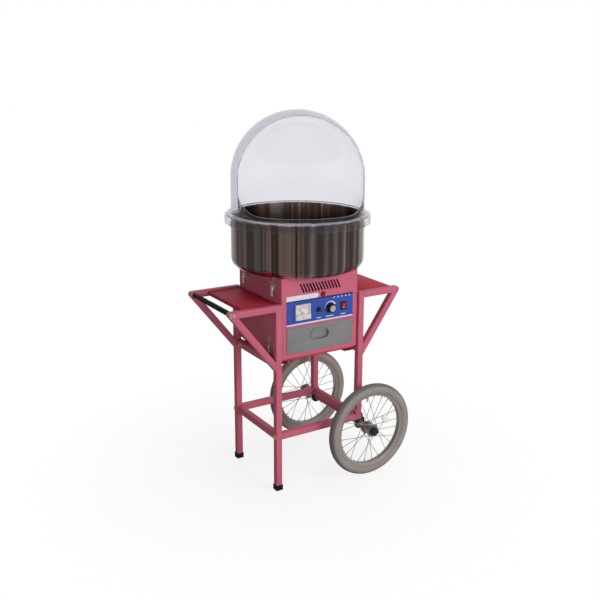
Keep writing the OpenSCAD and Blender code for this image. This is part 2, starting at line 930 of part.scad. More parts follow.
module meter_window() {
  color([0.85, 0.92, 0.95, 0.35]) on_panel(meter_x, meter_z)
    translate([-meter_face_w / 2, meter_face_y, meter_t - window_t])
      cube([meter_face_w, meter_face_h, window_t]);
}

module meter_needle() {
  color([0.8, 0.1, 0.08]) on_panel(meter_x, meter_z)
    translate([0, needle_y, meter_floor + needle_t]) rotate(needle_rest) difference() {
      union() {
        cylinder(d = needle_hub_d, h = needle_t);
        translate([-needle_w / 2, 0, 0]) cube([needle_w, needle_l, needle_t]);
      }
      translate([0, 0, -over]) cylinder(d = needle_pin_d + 2 * run_fit, h = needle_t + 2 * over);
    }
}

module fuse_holder() {
  color(black) on_panel(fuse_x, control_z) difference() {
    union() {
      cylinder(d = fuse_d, h = fuse_collar_t);
      translate([0, 0, -fuse_body_l]) cylinder(d = fuse_body_d, h = fuse_body_l + over);
    }
    translate([0, 0, -fuse_spigot_l]) cylinder(d = fuse_bore_d, h = fuse_spigot_l + fuse_collar_t + over);
  }
}

module fuse_cap() {
  color(black) on_panel(fuse_x, control_z) difference() {
    union() {
      translate([0, 0, fuse_collar_t + clear]) cylinder(d = fuse_cap_d, h = fuse_cap_h);
      translate([0, 0, clear - fuse_spigot_l + over])
        cylinder(d = fuse_spigot_d, h = fuse_spigot_l + fuse_collar_t);
    }
    translate([-fuse_cap_d, -fuse_slot_w / 2, fuse_collar_t + clear + fuse_cap_h - fuse_slot_depth])
      cube([2 * fuse_cap_d, fuse_slot_w, fuse_slot_depth + over]);
  }
}

module heat_controller() {
  color([0.2, 0.32, 0.25]) on_panel(knob_x, control_z) difference() {
    union() {
      translate([-regulator_w / 2, -regulator_w / 2, -panel_t - regulator_l])
        cube([regulator_w, regulator_w, regulator_l]);
      translate([0, 0, -panel_t - over]) cylinder(d = bush_d, h = panel_t + bush_proud + over);
    }
    translate([0, 0, -knob_shaft_l])
      cylinder(d = knob_shaft_d + 2 * run_fit, h = knob_shaft_l + bush_proud + over);
  }
}

module heat_knob() {
  color(black) on_panel(knob_x, control_z) {
    difference() {
      union() {
        translate([0, 0, clear]) cylinder(d = knob_d, h = knob_skirt_h);
        translate([0, 0, clear]) cylinder(d = knob_d * knob_grip_share, h = knob_h);
        translate([0, 0, clear]) cylinder(d = knob_d * knob_cap_share, h = knob_h + knob_cap_t);
      }
      translate([0, 0, clear - over]) cylinder(d = knob_well_d, h = knob_well_h + over);
    }
    translate([0, 0, clear - knob_shaft_l]) cylinder(d = knob_shaft_d, h = knob_shaft_l + knob_well_h + over);
  }
}

module switch_bezel() {
  pivot = [0, 0, rocker_pivot_z];
  color(black) on_panel(switch_x, control_z) difference() {
    union() {
      translate([-switch_w / 2, -switch_h / 2, 0]) cube([switch_w, switch_h, bezel_t]);
      translate([-switch_body_w / 2, -switch_body_h / 2, -switch_depth])
        cube([switch_body_w, switch_body_h, switch_depth + over]);
    }
    translate(pivot) rotate([0, 90, 0]) cylinder(r = rocker_r + clear, h = rocker_w, center = true);
    translate([-rocker_w / 2, -rocker_r - clear, rocker_pivot_z])
      cube([rocker_w, 2 * (rocker_r + clear), bezel_t - rocker_pivot_z + over]);
    translate(pivot) rotate([0, 90, 0])
      cylinder(d = trunnion_d + 2 * run_fit, h = rocker_w + 2 * trunnion_l + 2 * clear, center = true);
  }
}

module power_rocker() {
  reach = 2 * rocker_r;
  body_w = rocker_w - 2 * clear;
  color([0.75, 0.05, 0.06]) on_panel(switch_x, control_z) translate([0, 0, rocker_pivot_z]) {
    rotate([rocker_slope, 0, 0]) difference() {
      rotate([0, 90, 0]) cylinder(r = rocker_r, h = body_w, center = true);
      for (s = [-1, 1]) rotate([s * rocker_slope, 0, 0])
        translate([-reach, s > 0 ? 0 : -reach, rocker_face]) cube([2 * reach, reach, reach]);
    }
    rotate([0, 90, 0]) cylinder(d = trunnion_d, h = rocker_w + 2 * trunnion_l, center = true);
  }
}

module pilot_lamp() {
  lens_d = lamp_d * lamp_lens_share;
  color([0.8, 0.05, 0.05]) on_casing(lamp_x, lamp_z) {
    cylinder(d = lamp_d, h = lamp_t);
    domed_bolt(lens_d, lens_d / 2, lamp_shank_d, lamp_shank_l);
  }
}

// Drawer and runners
module drawer_runners() {
  bottom = casing_z - pan_h + sheet;
  top = casing_z + tray_z - clear;
  x = tray_w / 2 - runner_inset;
  y = front_y + pan_inset + sheet;
  color(steel) for (sx = [-1, 1]) mirror([sx < 0 ? 1 : 0, 0, 0]) {
    translate([x - runner_t, y, bottom]) cube([runner_t, tray_l, top - bottom]);
    translate([x - runner_w, y, top - runner_t]) cube([runner_w, tray_l, runner_t]);
  }
}

module drawer_front() {
  color(steel) on_casing(0, 0) translate([0, 0, clear]) linear_extrude(drawer_t) difference() {
    translate([-drawer_w / 2, drawer_z]) square([drawer_w, drawer_h]);
    translate([0, pull_z]) stadium(pull_w - 2 * pull_ring, pull_h - 2 * pull_ring);
  }
}

module drawer_pull() {
  dish_w = pull_w - 2 * pull_ring;
  dish_h = pull_h - 2 * pull_ring;
  face = clear + drawer_t;
  color(steel) on_casing(0, pull_z) difference() {
    union() {
      translate([0, 0, face]) linear_extrude(pull_ring_t) stadium(pull_w, pull_h);
      translate([0, 0, face - pull_depth]) linear_extrude(pull_depth + pull_ring_t) stadium(dish_w, dish_h);
    }
    translate([0, 0, face - pull_depth + pull_wall]) linear_extrude(pull_depth + pull_ring_t)
      stadium(dish_w - 2 * pull_wall, dish_h - 2 * pull_wall);
  }
}

module drawer_tray() {
  inner_w = tray_w - 2 * tray_wall;
  inner_l = tray_l - 2 * tray_wall;
  color(dark_steel) difference() {
    translate([-tray_w / 2, front_y - clear, casing_z + tray_z]) difference() {
      cube([tray_w, tray_l, tray_h]);
      translate([tray_wall, tray_wall, tray_wall]) cube([inner_w, inner_l, tray_h]);
    }
    on_casing(0, pull_z) translate([0, 0, clear - tray_wall - over]) linear_extrude(tray_wall + 2 * over)
      stadium(pull_w - 2 * pull_ring, pull_h - 2 * pull_ring);
  }
}

// Motor, slip rings and spinning head
module motor_bracket() {
  half = motor_plate_w / 2;
  color(dark_steel) translate([0, 0, motor_top]) {
    difference() {
      translate([-half, -half, 0]) cube([motor_plate_w, motor_plate_w, motor_plate_t]);
      translate([0, 0, -over]) cylinder(r = plate_hole_r, h = motor_plate_t + 2 * over);
    }
    for (sx = [-1, 1], sy = [-1, 1])
      translate([sx * stud_span / 2, sy * stud_span / 2, 0]) cylinder(d = stud_d, h = motor_plate_t + stud_l);
  }
}

module motor() {
  color(dark_steel) translate([0, 0, motor_top - motor_l]) difference() {
    union() {
      cylinder(d = motor_d * motor_cap_share, h = motor_l);
      translate([0, 0, motor_cap_l]) cylinder(d = motor_d, h = motor_l - 2 * motor_cap_l);
    }
    translate([0, 0, motor_l - motor_socket]) cylinder(d = shaft_d + 2 * run_fit, h = motor_socket + over);
  }
}

module spinner_shaft() {
  bottom = motor_top - motor_socket + clear;
  color(steel) translate([0, 0, bottom]) cylinder(d = shaft_d, h = casing_top + head_z - bottom);
}

module slip_rings() {
  color(brass) translate([0, 0, drum_z]) difference() {
    union() {
      cylinder(r = drum_r, h = drum_h);
      for (k = [0, 1]) translate([0, 0, ring_base + k * ring_step]) cylinder(r = ring_r, h = ring_h);
    }
    translate([0, 0, -over]) cylinder(d = shaft_d, h = drum_h + 2 * over);
  }
}

module brush_block() {
  base = motor_top + motor_plate_t;
  color([0.5, 0.3, 0.18]) {
    translate([block_x, -block_w / 2, base]) cube([block_w, block_w, drum_base + drum_h]);
    for (k = [0, 1])
      translate([ring_r + clear, -brush_w / 2, drum_z + ring_base + k * ring_step + (ring_h - brush_w) / 2])
        cube([block_x - ring_r - clear + over, brush_w, brush_w]);
  }
}

module spinner_head() {
  color(steel) translate([0, 0, casing_top + head_z]) {
    difference() {
      cylinder(r = head_r, h = head_h);
      translate([0, 0, head_floor]) cylinder(r = head_r - head_wall, h = head_h);
    }
    translate([0, 0, head_floor - over]) cylinder(d = head_boss_d, h = head_boss_h + over);
  }
}

module heater_ring() {
  slit_h = heater_h * slit_share;
  color([0.55, 0.5, 0.45]) translate([0, 0, heater_z]) difference() {
    cylinder(r = head_r, h = heater_h);
    translate([0, 0, -over]) cylinder(r = head_r - heater_t, h = heater_h + 2 * over);
    for (k = [0:slit_count - 1]) rotate(k * 360 / slit_count)
      translate([head_r - 2 * heater_t, -slit_w / 2, (heater_h - slit_h) / 2])
        cube([3 * heater_t, slit_w, slit_h]);
  }
}

module head_cap() {
  color(steel) translate([0, 0, heater_z + heater_h]) difference() {
    cylinder(r = head_r, h = cap_t);
    translate([0, 0, -over]) cylinder(r = cap_hole_r, h = cap_t + 2 * over);
  }
}

module cable_gland() {
  color(black) translate([gland_x, back_y, casing_z + gland_z]) rotate([-90, 0, 0]) difference() {
    union() {
      cylinder(d = gland_flange_d, h = gland_flange_t);
      translate([0, 0, -gland_l]) cylinder(d = gland_d, h = gland_l + over);
      cylinder(d = gland_d, h = 2 * gland_flange_t);
    }
    translate([0, 0, -gland_l - over])
      cylinder(d = gland_bore_d, h = gland_l + 2 * gland_flange_t + 2 * over);
  }
}

// Bowl and dome
// Quarter ring in the section plane, turned by a, with its outer radius r and wall t
module quarter_ring(r, t, a) {
  rotate(a) intersection() {
    difference() {
      circle(r = r);
      circle(r = r - t);
    }
    square(r + over);
  }
}

module bowl() {
  bead_x = bowl_r + bowl_rim_w - bead_r;
  color(dark_steel) translate([0, 0, bowl_z]) rotate_extrude() {
    translate([bowl_hole_r, 0]) square([bowl_r - bowl_corner - bowl_hole_r, bowl_t]);
    translate([bowl_hole_r, 0]) square([bowl_t, collar_h]);
    translate([bowl_r - bowl_corner, bowl_corner]) quarter_ring(bowl_corner, bowl_t, -90);
    translate([bowl_r - bowl_t, bowl_corner]) square([bowl_t, bowl_h - bowl_corner]);
    translate([bowl_r - bowl_t, bowl_h - bowl_t]) square([bead_x - bowl_r + bowl_t, bowl_t]);
    translate([bead_x, bowl_h - bead_r]) circle(r = bead_r);
  }
}

module dome_shell() {
  shoulder_x = dome_flange_r - shoulder_r;
  spring = dome_t + dome_wall_h;
  rotate_extrude() {
    translate([dome_r - dome_t, 0]) square([shoulder_x - dome_r + dome_t, dome_t]);
    translate([shoulder_x, dome_t - shoulder_r]) quarter_ring(shoulder_r, dome_t, 0);
    translate([dome_flange_r - dome_t, -skirt_h]) square([dome_t, skirt_h + dome_t - shoulder_r]);
    translate([dome_r - dome_t, 0]) square([dome_t, spring]);
    translate([0, spring]) quarter_ring(dome_r, dome_t, 0);
  }
}

module opening_outline() {
  low = opening_half - opening_corner;
  height = dome_wall_h + 2 * dome_r;
  translate([-opening_half, opening_sill + opening_corner]) square([2 * opening_half, height]);
  translate([-low, opening_sill]) square([2 * low, height]);
  for (s = [-1, 1]) translate([s * low, opening_sill + opening_corner]) circle(r = opening_corner);
}

module dome() {
  color([0.85, 0.9, 0.95, 0.3]) translate([0, 0, dome_z]) difference() {
    dome_shell();
    rotate(-opening_turn) translate([0, -opening_plane, 0]) rotate([90, 0, 0])
      linear_extrude(dome_r) opening_outline();
  }
}

// Toggle latches
module latch_base() {
  half = latch_base_w / 2;
  translate([0, -half, -latch_base_down]) cube([latch_base_t, 2 * half, latch_base_up + latch_base_down]);
  for (s = [-1, 1]) translate([0, s * (half - ear_t / 2), 0]) rotate([90, 0, 0])
    linear_extrude(ear_t, center = true) {
      translate([0, -ear_r]) square([pin_off, 2 * ear_r]);
      translate([pin_off, 0]) circle(r = ear_r);
    }
  translate([pin_off, 0, 0]) rotate([90, 0, 0])
    cylinder(d = latch_pin_d, h = latch_base_w + 2 * pin_end, center = true);
}

// Hook under the bowl that the loop pulls down on
module latch_keeper() {
  top = bowl_z - latch_z;
  seat = loop_top - wire_d / 2 - keeper_seat;
  translate([keeper_gap, -keeper_w / 2, seat - keeper_t]) {
    cube([keeper_t, keeper_w, top - seat + keeper_t]);
    cube([keeper_reach, keeper_w, keeper_t]);
    translate([keeper_reach - keeper_t, 0, 0]) cube([keeper_t, keeper_w, keeper_t + keeper_lip]);
  }
}

module latch_hardware() {
  color(steel) for (sx = [-1, 1], sy = [-1, 1]) at_latch(sx, sy) {
    latch_base();
    latch_keeper();
  }
}

module latch_lever() {
  face = pin_off + ear_r - ear_t;
  difference() {
    union() {
      translate([face, -lever_w / 2, -lever_l]) cube([ear_t, lever_w, lever_l + ear_r]);
      translate([face + ear_t / 2, 0, -lever_l]) rotate([90, 0, 0])
        cylinder(d = 2 * ear_t, h = lever_w, center = true);
      for (s = [-1, 1])
        translate([pin_off - ear_r, s * (lever_w - ear_t) / 2 - ear_t / 2, -latch_throw - ear_r])
          cube([2 * ear_r, ear_t, latch_throw + 2 * ear_r]);
    }
    translate([pin_off, 0, 0]) rotate([90, 0, 0])
      cylinder(d = latch_pin_d + 2 * run_fit, h = 2 * lever_w, center = true);
    translate([pin_off, 0, -latch_throw]) rotate([90, 0, 0])
      cylinder(d = wire_d + 2 * run_fit, h = 2 * lever_w, center = true);
  }
}

// Wire loop from its ends in the lever's ears up over the keeper
module latch_loop() {
  pivot_end = lever_w / 2 - ear_t - clear;
  translate([pin_off, 0, 0]) {
    for (s = [-1, 1]) {
      rod([0, s * pivot_end, -latch_throw], [0, s * loop_half, -latch_throw], wire_d);
      rod([0, s * loop_half, -latch_throw], [0, s * loop_half, loop_top], wire_d);
      for (z = [-latch_throw, loop_top]) translate([0, s * loop_half, z]) sphere(d = wire_d);
    }
    rod([0, -loop_half, loop_top], [0, loop_half, loop_top], wire_d);
  }
}

module lever_front_left() {
  color(steel) at_latch(-1, -1) latch_lever();
}

module lever_back_left() {
  color(steel) at_latch(-1, 1) latch_lever();
}

module lever_front_right() {
  color(steel) at_latch(1, -1) latch_lever();
}

module lever_back_right() {
  color(steel) at_latch(1, 1) latch_lever();
}

module loop_front_left() {
  color(steel) at_latch(-1, -1) latch_loop();
}

module loop_back_left() {
  color(steel) at_latch(-1, 1) latch_loop();
}

module loop_front_right() {
  color(steel) at_latch(1, -1) latch_loop();
}

module loop_back_right() {
  color(steel) at_latch(1, 1) latch_loop();
}

left_legs();
right_legs();
lower_rails();
machine_rails();
shelf_arms();
shelf_braces();
shelf_plates();
handle_bar();
handle_grip();
fasteners();
leg_feet();
axle_brackets();
axle_tube();
axle_rod();
wheel_bearings();
casing();
base_pan();
machine_feet();
control_panel();
meter_case();
meter_window();
fuse_holder();
switch_bezel();
pilot_lamp();
drawer_runners();
motor();
motor_bracket();
brush_block();
heat_controller();
cable_gland();
bowl();
latch_hardware();
spinner_head();
heater_ring();
head_cap();
spinner_shaft();
slip_rings();
drawer_front();
drawer_tray();
drawer_pull();
dome();
heat_knob();
power_rocker();
meter_needle();
fuse_cap();
lever_front_left();
lever_back_left();
lever_front_right();
lever_back_right();
loop_front_left();
loop_back_left();
loop_front_right();
loop_back_right();
front_tyre();
back_tyre();
front_rim();
back_rim();
front_hub();
back_hub();
spoke_reflector();
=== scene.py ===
import json
from math import acos, cos, degrees, pi, radians, sin, sqrt

import bmesh
import bpy
from mathutils import Matrix, Vector


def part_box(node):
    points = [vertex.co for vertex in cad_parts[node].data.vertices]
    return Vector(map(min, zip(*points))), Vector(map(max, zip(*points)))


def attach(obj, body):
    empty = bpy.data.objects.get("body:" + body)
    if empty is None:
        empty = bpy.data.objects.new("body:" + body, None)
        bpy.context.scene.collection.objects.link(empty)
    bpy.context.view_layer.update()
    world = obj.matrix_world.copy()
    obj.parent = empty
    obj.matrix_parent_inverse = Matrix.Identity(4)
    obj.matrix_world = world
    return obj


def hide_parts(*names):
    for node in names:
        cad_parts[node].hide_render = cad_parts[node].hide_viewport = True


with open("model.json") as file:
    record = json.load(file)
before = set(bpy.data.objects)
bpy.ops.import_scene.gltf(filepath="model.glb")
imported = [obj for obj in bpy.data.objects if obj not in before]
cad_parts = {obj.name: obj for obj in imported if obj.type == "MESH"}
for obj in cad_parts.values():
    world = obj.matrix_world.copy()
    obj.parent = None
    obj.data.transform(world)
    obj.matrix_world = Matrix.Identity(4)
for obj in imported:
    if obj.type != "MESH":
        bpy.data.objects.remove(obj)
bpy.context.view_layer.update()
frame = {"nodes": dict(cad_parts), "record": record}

NODES = frame["nodes"]
RECORD = frame["record"]
MM = 0.001
HERE = Matrix.Identity(4)
ENDS = ("front", "back")
WHITE = (1.0, 1.0, 1.0, 1.0)

# Sizes of the dressed pieces, in millimetres and degrees, beside those that the frame gives
TUBE_CORNER = 2.4
CASING_CORNER = 2.2
SHEET_EDGE = 0.6
BOWL_WALL_R = 260
BOWL_SHEET = 1.5
BOWL_CORNER = 40
BOWL_BEAD = 3
BOWL_HOLE_R = 30
BOWL_COLLAR = 25
# Turn of the bowl's painted reflection bands round the Z axis, in degrees
REFLECTION_BANDS_TURN = 98
DOME_WALL_R = 259
DOME_SHEET = 3
DOME_SHOULDER = 10
DOME_SPRING = 134
DOME_SKIRT = 32
DOME_FLANGE_R = 284
MOUTH_PLANE = 95
MOUTH_TURN = 23
MOUTH_SILL = 18
MOUTH_CORNER = 75
ROUND_STEPS = 192
TYRE_SECTION_R = 22
TYRE_RIB = 0.9
RIM_SEAT_R = 156
RIM_DEPTH = 12
TREAD_COUNT = 132
TREAD_BLOCK = (2.6, 4.6, 7.5)
TREAD_ROW = 39
TREAD_LEAN = 12
SPOKE_COUNT = 24
VALVE_TURN = 97.5
KNOB_RIBS = 30
FUSE_RIBS = 28
HEATER_BARS = 90
RAIL_BOLT_Y = 114
CATCH_PLACE = (-78, 571)
SMOOTH_TO = 32
PRINT_PROUD = 0.15


# Places taken from the frame
def box(node):
    low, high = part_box(node)
    return low / MM, high / MM


def middle(node):
    low, high = box(node)
    return (low + high) / 2


def slot_of(node):
    return next(p["material_slot"] for p in RECORD["subparts"] if p["node"] == node)


def body_of(node):
    return next(b for b, members in RECORD["behaviour"]["bodies"].items() if node in members)


# Shader building blocks
def new_material(name):
    material = bpy.data.materials.new(name)
    material.use_nodes = True
    tree = material.node_tree
    return material, tree, tree.nodes["Principled BSDF"]


def feed(node, inputs):
    """Fills a node's inputs: a socket is linked, any other value becomes the input's own."""
    for key, value in inputs.items():
        if isinstance(value, bpy.types.NodeSocket):
            node.id_data.links.new(value, node.inputs[key])
        else:
            node.inputs[key].default_value = value


def add(tree, kind, inputs=(), **settings):
    """Adds a node with its settings and then its inputs, by name or by number."""
    node = tree.nodes.new(kind)
    for key, value in settings.items():
        setattr(node, key, value)
    feed(node, dict(inputs))
    return node


def number_math(tree, operation, *values, clamp=False):
    node = add(tree, "ShaderNodeMath", enumerate(values), operation=operation, use_clamp=clamp)
    return node.outputs["Value"]


def vector_math(tree, operation, *values):
    """A vector node's result: a number for a length or a dot product, else a vector."""
    node = add(tree, "ShaderNodeVectorMath", enumerate(values), operation=operation)
    return node.outputs["Value" if operation in ("LENGTH", "DOT_PRODUCT") else "Vector"]


def mask_range(tree, value, low, high, to_low=0.0, to_high=1.0):
    """Stretches a value from low..high to to_low..to_high."""
    limits = {"From Min": low, "From Max": high, "To Min": to_low, "To Max": to_high}
    return add(tree, "ShaderNodeMapRange", {"Value": value, **limits}).outputs["Result"]


def noise(tree, vector, scale, detail):
    inputs = {"Vector": vector, "Scale": scale, "Detail": detail}
    return add(tree, "ShaderNodeTexNoise", inputs).outputs["Fac"]


def object_place(tree):
    return add(tree, "ShaderNodeTexCoord").outputs["Object"]


def height_of(tree, place):
    return add(tree, "ShaderNodeSeparateXYZ", {"Vector": place}).outputs["Z"]


def mask_group(name, inputs, outputs):
    """A group with defaults for its inputs and masks as outputs, with its source and its sink."""
    tree = bpy.data.node_groups.new(name, "ShaderNodeTree")
    for label, default in inputs.items():
        kind = "NodeSocketVector" if isinstance(default, tuple) else "NodeSocketFloat"
        tree.interface.new_socket(label, in_out="INPUT", socket_type=kind).default_value = default
    for label in outputs:
        tree.interface.new_socket(label, in_out="OUTPUT", socket_type="NodeSocketFloat")
    return tree, tree.nodes.new("NodeGroupInput").outputs, tree.nodes.new("NodeGroupOutput")


def cloud_group():
    """Broad unevenness and fine grain of a painted or moulded surface."""
    scales = {"Cloud Scale": 9.0, "Grain Scale": 700.0}
    tree, source, sink = mask_group("cloud_and_grain", scales, ("Cloud", "Grain"))
    place = object_place(tree)
    for name, detail in (("Cloud", 4.0), ("Grain", 2.0)):
        mottle = noise(tree, place, source[name + " Scale"], detail)
        feed(sink, {name: mask_range(tree, mottle, 0.32, 0.68)})
    return tree


def stroke_group():
    """Parallel strokes of a brushed sheet; Stretch sets how fine they are along each axis."""
    tree, source, sink = mask_group("brush_strokes", {"Stretch": (20.0, 900.0, 900.0)}, ("Stroke",))
    drawn = vector_math(tree, "MULTIPLY", object_place(tree), source["Stretch"])
    feed(sink, {"Stroke": mask_range(tree, noise(tree, drawn, 1.0, 3.0), 0.3, 0.7)})
    return tree


def spun_group():
    """Upright bands round the Z axis, used for the bowl's painted reflections and a slight bump, and level
    turning lines of a bowl spun about the Z axis.
    """
    scales = {"Band Scale": 3.0, "Line Scale": 900.0}
    tree, source, sink = mask_group("spun_sheet", scales, ("Band", "Thin Band", "Line"))
    place = object_place(tree)
    flat = vector_math(tree, "MULTIPLY", place, (1.0, 1.0, 0.0))
    start = {"Vector": flat, "Angle": radians(REFLECTION_BANDS_TURN)}
    turned = add(tree, "ShaderNodeVectorRotate", start, rotation_type="Z_AXIS")
    way = vector_math(tree, "NORMALIZE", turned.outputs["Vector"])
    for name, times in (("Band", 1.0), ("Thin Band", 5.0)):
        scale = number_math(tree, "MULTIPLY", source["Band Scale"], times)
        feed(sink, {name: mask_range(tree, noise(tree, way, scale, 3.0), 0.3, 0.7)})
    lines = {"W": height_of(tree, place), "Scale": source["Line Scale"]}
    line = add(tree, "ShaderNodeTexNoise", lines, noise_dimensions="1D")
    feed(sink, {"Line": line.outputs["Fac"]})
    return tree


CLOUD = cloud_group()
STROKE = stroke_group()
SPUN = spun_group()


def use_group(tree, group, **values):
    """The masks of a group, by name."""
    inputs = {name.replace("_", " ").title(): value for name, value in values.items()}
    return add(tree, "ShaderNodeGroup", inputs, node_tree=group).outputs


def shade(tone, share=1.0):
    """A share of a colour, with its alpha."""
    return (*(channel * share for channel in tone), 1.0)


def two_tone(tree, mask, tone_a, tone_b):
    """A colour that runs from tone_a to tone_b with a mask."""
    mix = add(tree, "ShaderNodeMix", {"Factor": mask, "A": tone_a, "B": tone_b}, data_type="RGBA")
    return mix.outputs["Result"]


def relief(tree, height, depth, strength=0.5):
    """The normal of a bump with a depth in metres."""
    inputs = {"Strength": strength, "Distance": depth, "Height": height}
    return add(tree, "ShaderNodeBump", inputs).outputs["Normal"]


def mix_shader(tree, share, first, second):
    """The node that mixes the first outputs of two shader nodes."""
    return add(tree, "ShaderNodeMixShader", {"Fac": share, 1: first.outputs[0], 2: second.outputs[0]})


def mirrored_ray(tree, path):
    """One where metal mirrors, and zero where clear plastic lets a ray through."""
    return number_math(tree, "SUBTRACT", path["Is Glossy Ray"], path["Is Transmission Ray"], clamp=True)


# Finishes
def clouded(name, tone, rough, spread=0.10, metal=0.0, coat=0.0, grain=700.0, depth=0.00006, shine=0.5):
    """Even finish with slight clouds of tone and gloss and a fine grain: paint, plastic or rubber."""
    material, tree, shader = new_material(name)
    masks = use_group(tree, CLOUD, cloud_scale=9.0, grain_scale=grain)
    feed(shader, {
        "Base Color": two_tone(tree, masks["Cloud"], shade(tone, 1 - spread), shade(tone, 1 + spread)),
        "Roughness": mask_range(tree, masks["Cloud"], 0.0, 1.0, rough * 0.85, rough * 1.15),
        "Normal": relief(tree, masks["Grain"], depth),
        "Metallic": metal,
        "Specular IOR Level": shine,
        "Coat Weight": coat,
        "Coat Roughness": 0.12,
    })
    return material


def brushed(name, tone, rough, stretch, spread=0.16, metal=1.0):
    """Brushed metal sheet."""
    material, tree, shader = new_material(name)
    stroke = use_group(tree, STROKE, stretch=stretch)["Stroke"]
    feed(shader, {
        "Base Color": two_tone(tree, stroke, shade(tone, 1 - spread), shade(tone, 1 + spread)),
        "Roughness": mask_range(tree, stroke, 0.0, 1.0, rough * 0.7, rough * 1.3),
        "Normal": relief(tree, stroke, 0.00003, 0.35),
        "Metallic": metal,
    })
    return material


# Painted reflections: the bowl's tones run from dark to light, with warm pink and red-brown bands, and stand
# in for the room that the bowl mirrors
PAINTED_REFLECTION_BANDS = (
    (0.0, (0.07, 0.05, 0.05)),
    (0.26, (0.14, 0.105, 0.10)),
    (0.38, (0.28, 0.255, 0.225)),
    (0.46, (0.68, 0.46, 0.41)),
    (0.52, (0.12, 0.075, 0.075)),
    (0.62, (0.30, 0.27, 0.245)),
    (0.76, (0.56, 0.53, 0.54)),
    (1.0, (0.80, 0.77, 0.76)),
)


def steel_with_painted_reflections(name):
    """Polished bowl steel whose colour is painted with upright bands of dark, warm and light reflections of a
    room.
    """
    material, tree, shader = new_material(name)
    masks = use_group(tree, SPUN, band_scale=2.3, line_scale=700.0)
    bands = {"Factor": 0.14, "A": masks["Band"], "B": masks["Thin Band"]}
    blend = add(tree, "ShaderNodeMix", bands, data_type="FLOAT")
    ramp = add(tree, "ShaderNodeValToRGB", {"Fac": blend.outputs["Result"]})
    stops = ramp.color_ramp.elements
    while len(stops) < len(PAINTED_REFLECTION_BANDS):
        stops.new(0.5)
    for stop, (place, tone) in zip(stops, PAINTED_REFLECTION_BANDS):
        stop.position = place
        stop.color = shade(tone)
    feed(shader, {
        "Base Color": ramp.outputs["Color"],
        "Roughness": mask_range(tree, masks["Line"], 0.3, 0.7, 0.14, 0.22),
        "Normal": relief(tree, masks["Thin Band"], 0.0004, 0.25),
        "Metallic": 1.0,
    })
    return material


def tyre_rubber(name, wall, tread):
    """Rubber with a pale side wall and a darker tread, told apart by the distance from the axle."""
    material, tree, shader = new_material(name)
    low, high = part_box("axle_rod")
    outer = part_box("front_tyre")[1].z / 2
    axle = (low.x + (high.x - low.x) / 2, 0.0, outer)
    masks = use_group(tree, CLOUD, cloud_scale=14.0, grain_scale=900.0)
    away = vector_math(tree, "SUBTRACT", object_place(tree), axle)
    radius = vector_math(tree, "LENGTH", vector_math(tree, "MULTIPLY", away, (1.0, 0.0, 1.0)))
    crown = mask_range(tree, radius, outer * 0.935, outer * 0.975)
    mottled = two_tone(tree, masks["Cloud"], shade(wall, 0.86), shade(wall, 1.14))
    feed(shader, {
        "Base Color": two_tone(tree, crown, mottled, shade(tread)),
        "Roughness": mask_range(tree, masks["Cloud"], 0.0, 1.0, 0.55, 0.75),
        "Normal": relief(tree, masks["Grain"], 0.0001),
        "Specular IOR Level": 0.3,
    })
    return material


def clear_plastic(name, tone, rough, edge, shadow, passing=(0.0, 0.1, 1.0, 1.0)):
    """Clear moulded plastic that lets the light through to what it covers; seen edge-on it turns to the edge
    grey, a painted shade along its silhouette.

    What metal mirrors passes it in a share that changes with height: (low, high, share low, share high).
    """
    material, tree, shader = new_material(name)
    masks = use_group(tree, CLOUD, cloud_scale=5.0, grain_scale=60.0)
    feed(shader, {
        "Base Color": shade(tone),
        "Transmission Weight": 1.0,
        "IOR": 1.46,
        "Roughness": mask_range(tree, masks["Cloud"], 0.0, 1.0, rough * 0.6, rough * 1.6),
        "Normal": relief(tree, masks["Cloud"], 0.0006, 0.15),
    })
    turned = add(tree, "ShaderNodeLayerWeight", {"Blend": 0.5}).outputs["Facing"]
    # Painted shade: the edge grey mixes in where the surface turns edge-on to the view
    grey = add(tree, "ShaderNodeBsdfTransparent", {"Color": shade(edge)})
    clear = add(tree, "ShaderNodeBsdfTransparent", {"Color": shade(shadow)})
    rim = mix_shader(tree, mask_range(tree, turned, 0.80, 0.98, 0.0, 0.9), shader, grey)
    path = add(tree, "ShaderNodeLightPath").outputs
    share = mask_range(tree, height_of(tree, object_place(tree)), *passing)
    ways = (mirrored_ray(tree, path), share, path["Is Shadow Ray"])
    passed = number_math(tree, "MULTIPLY_ADD", *ways, clamp=True)
    shown = mix_shader(tree, passed, rim, clear)
    feed(tree.nodes["Material Output"], {"Surface": shown.outputs[0]})
    return material


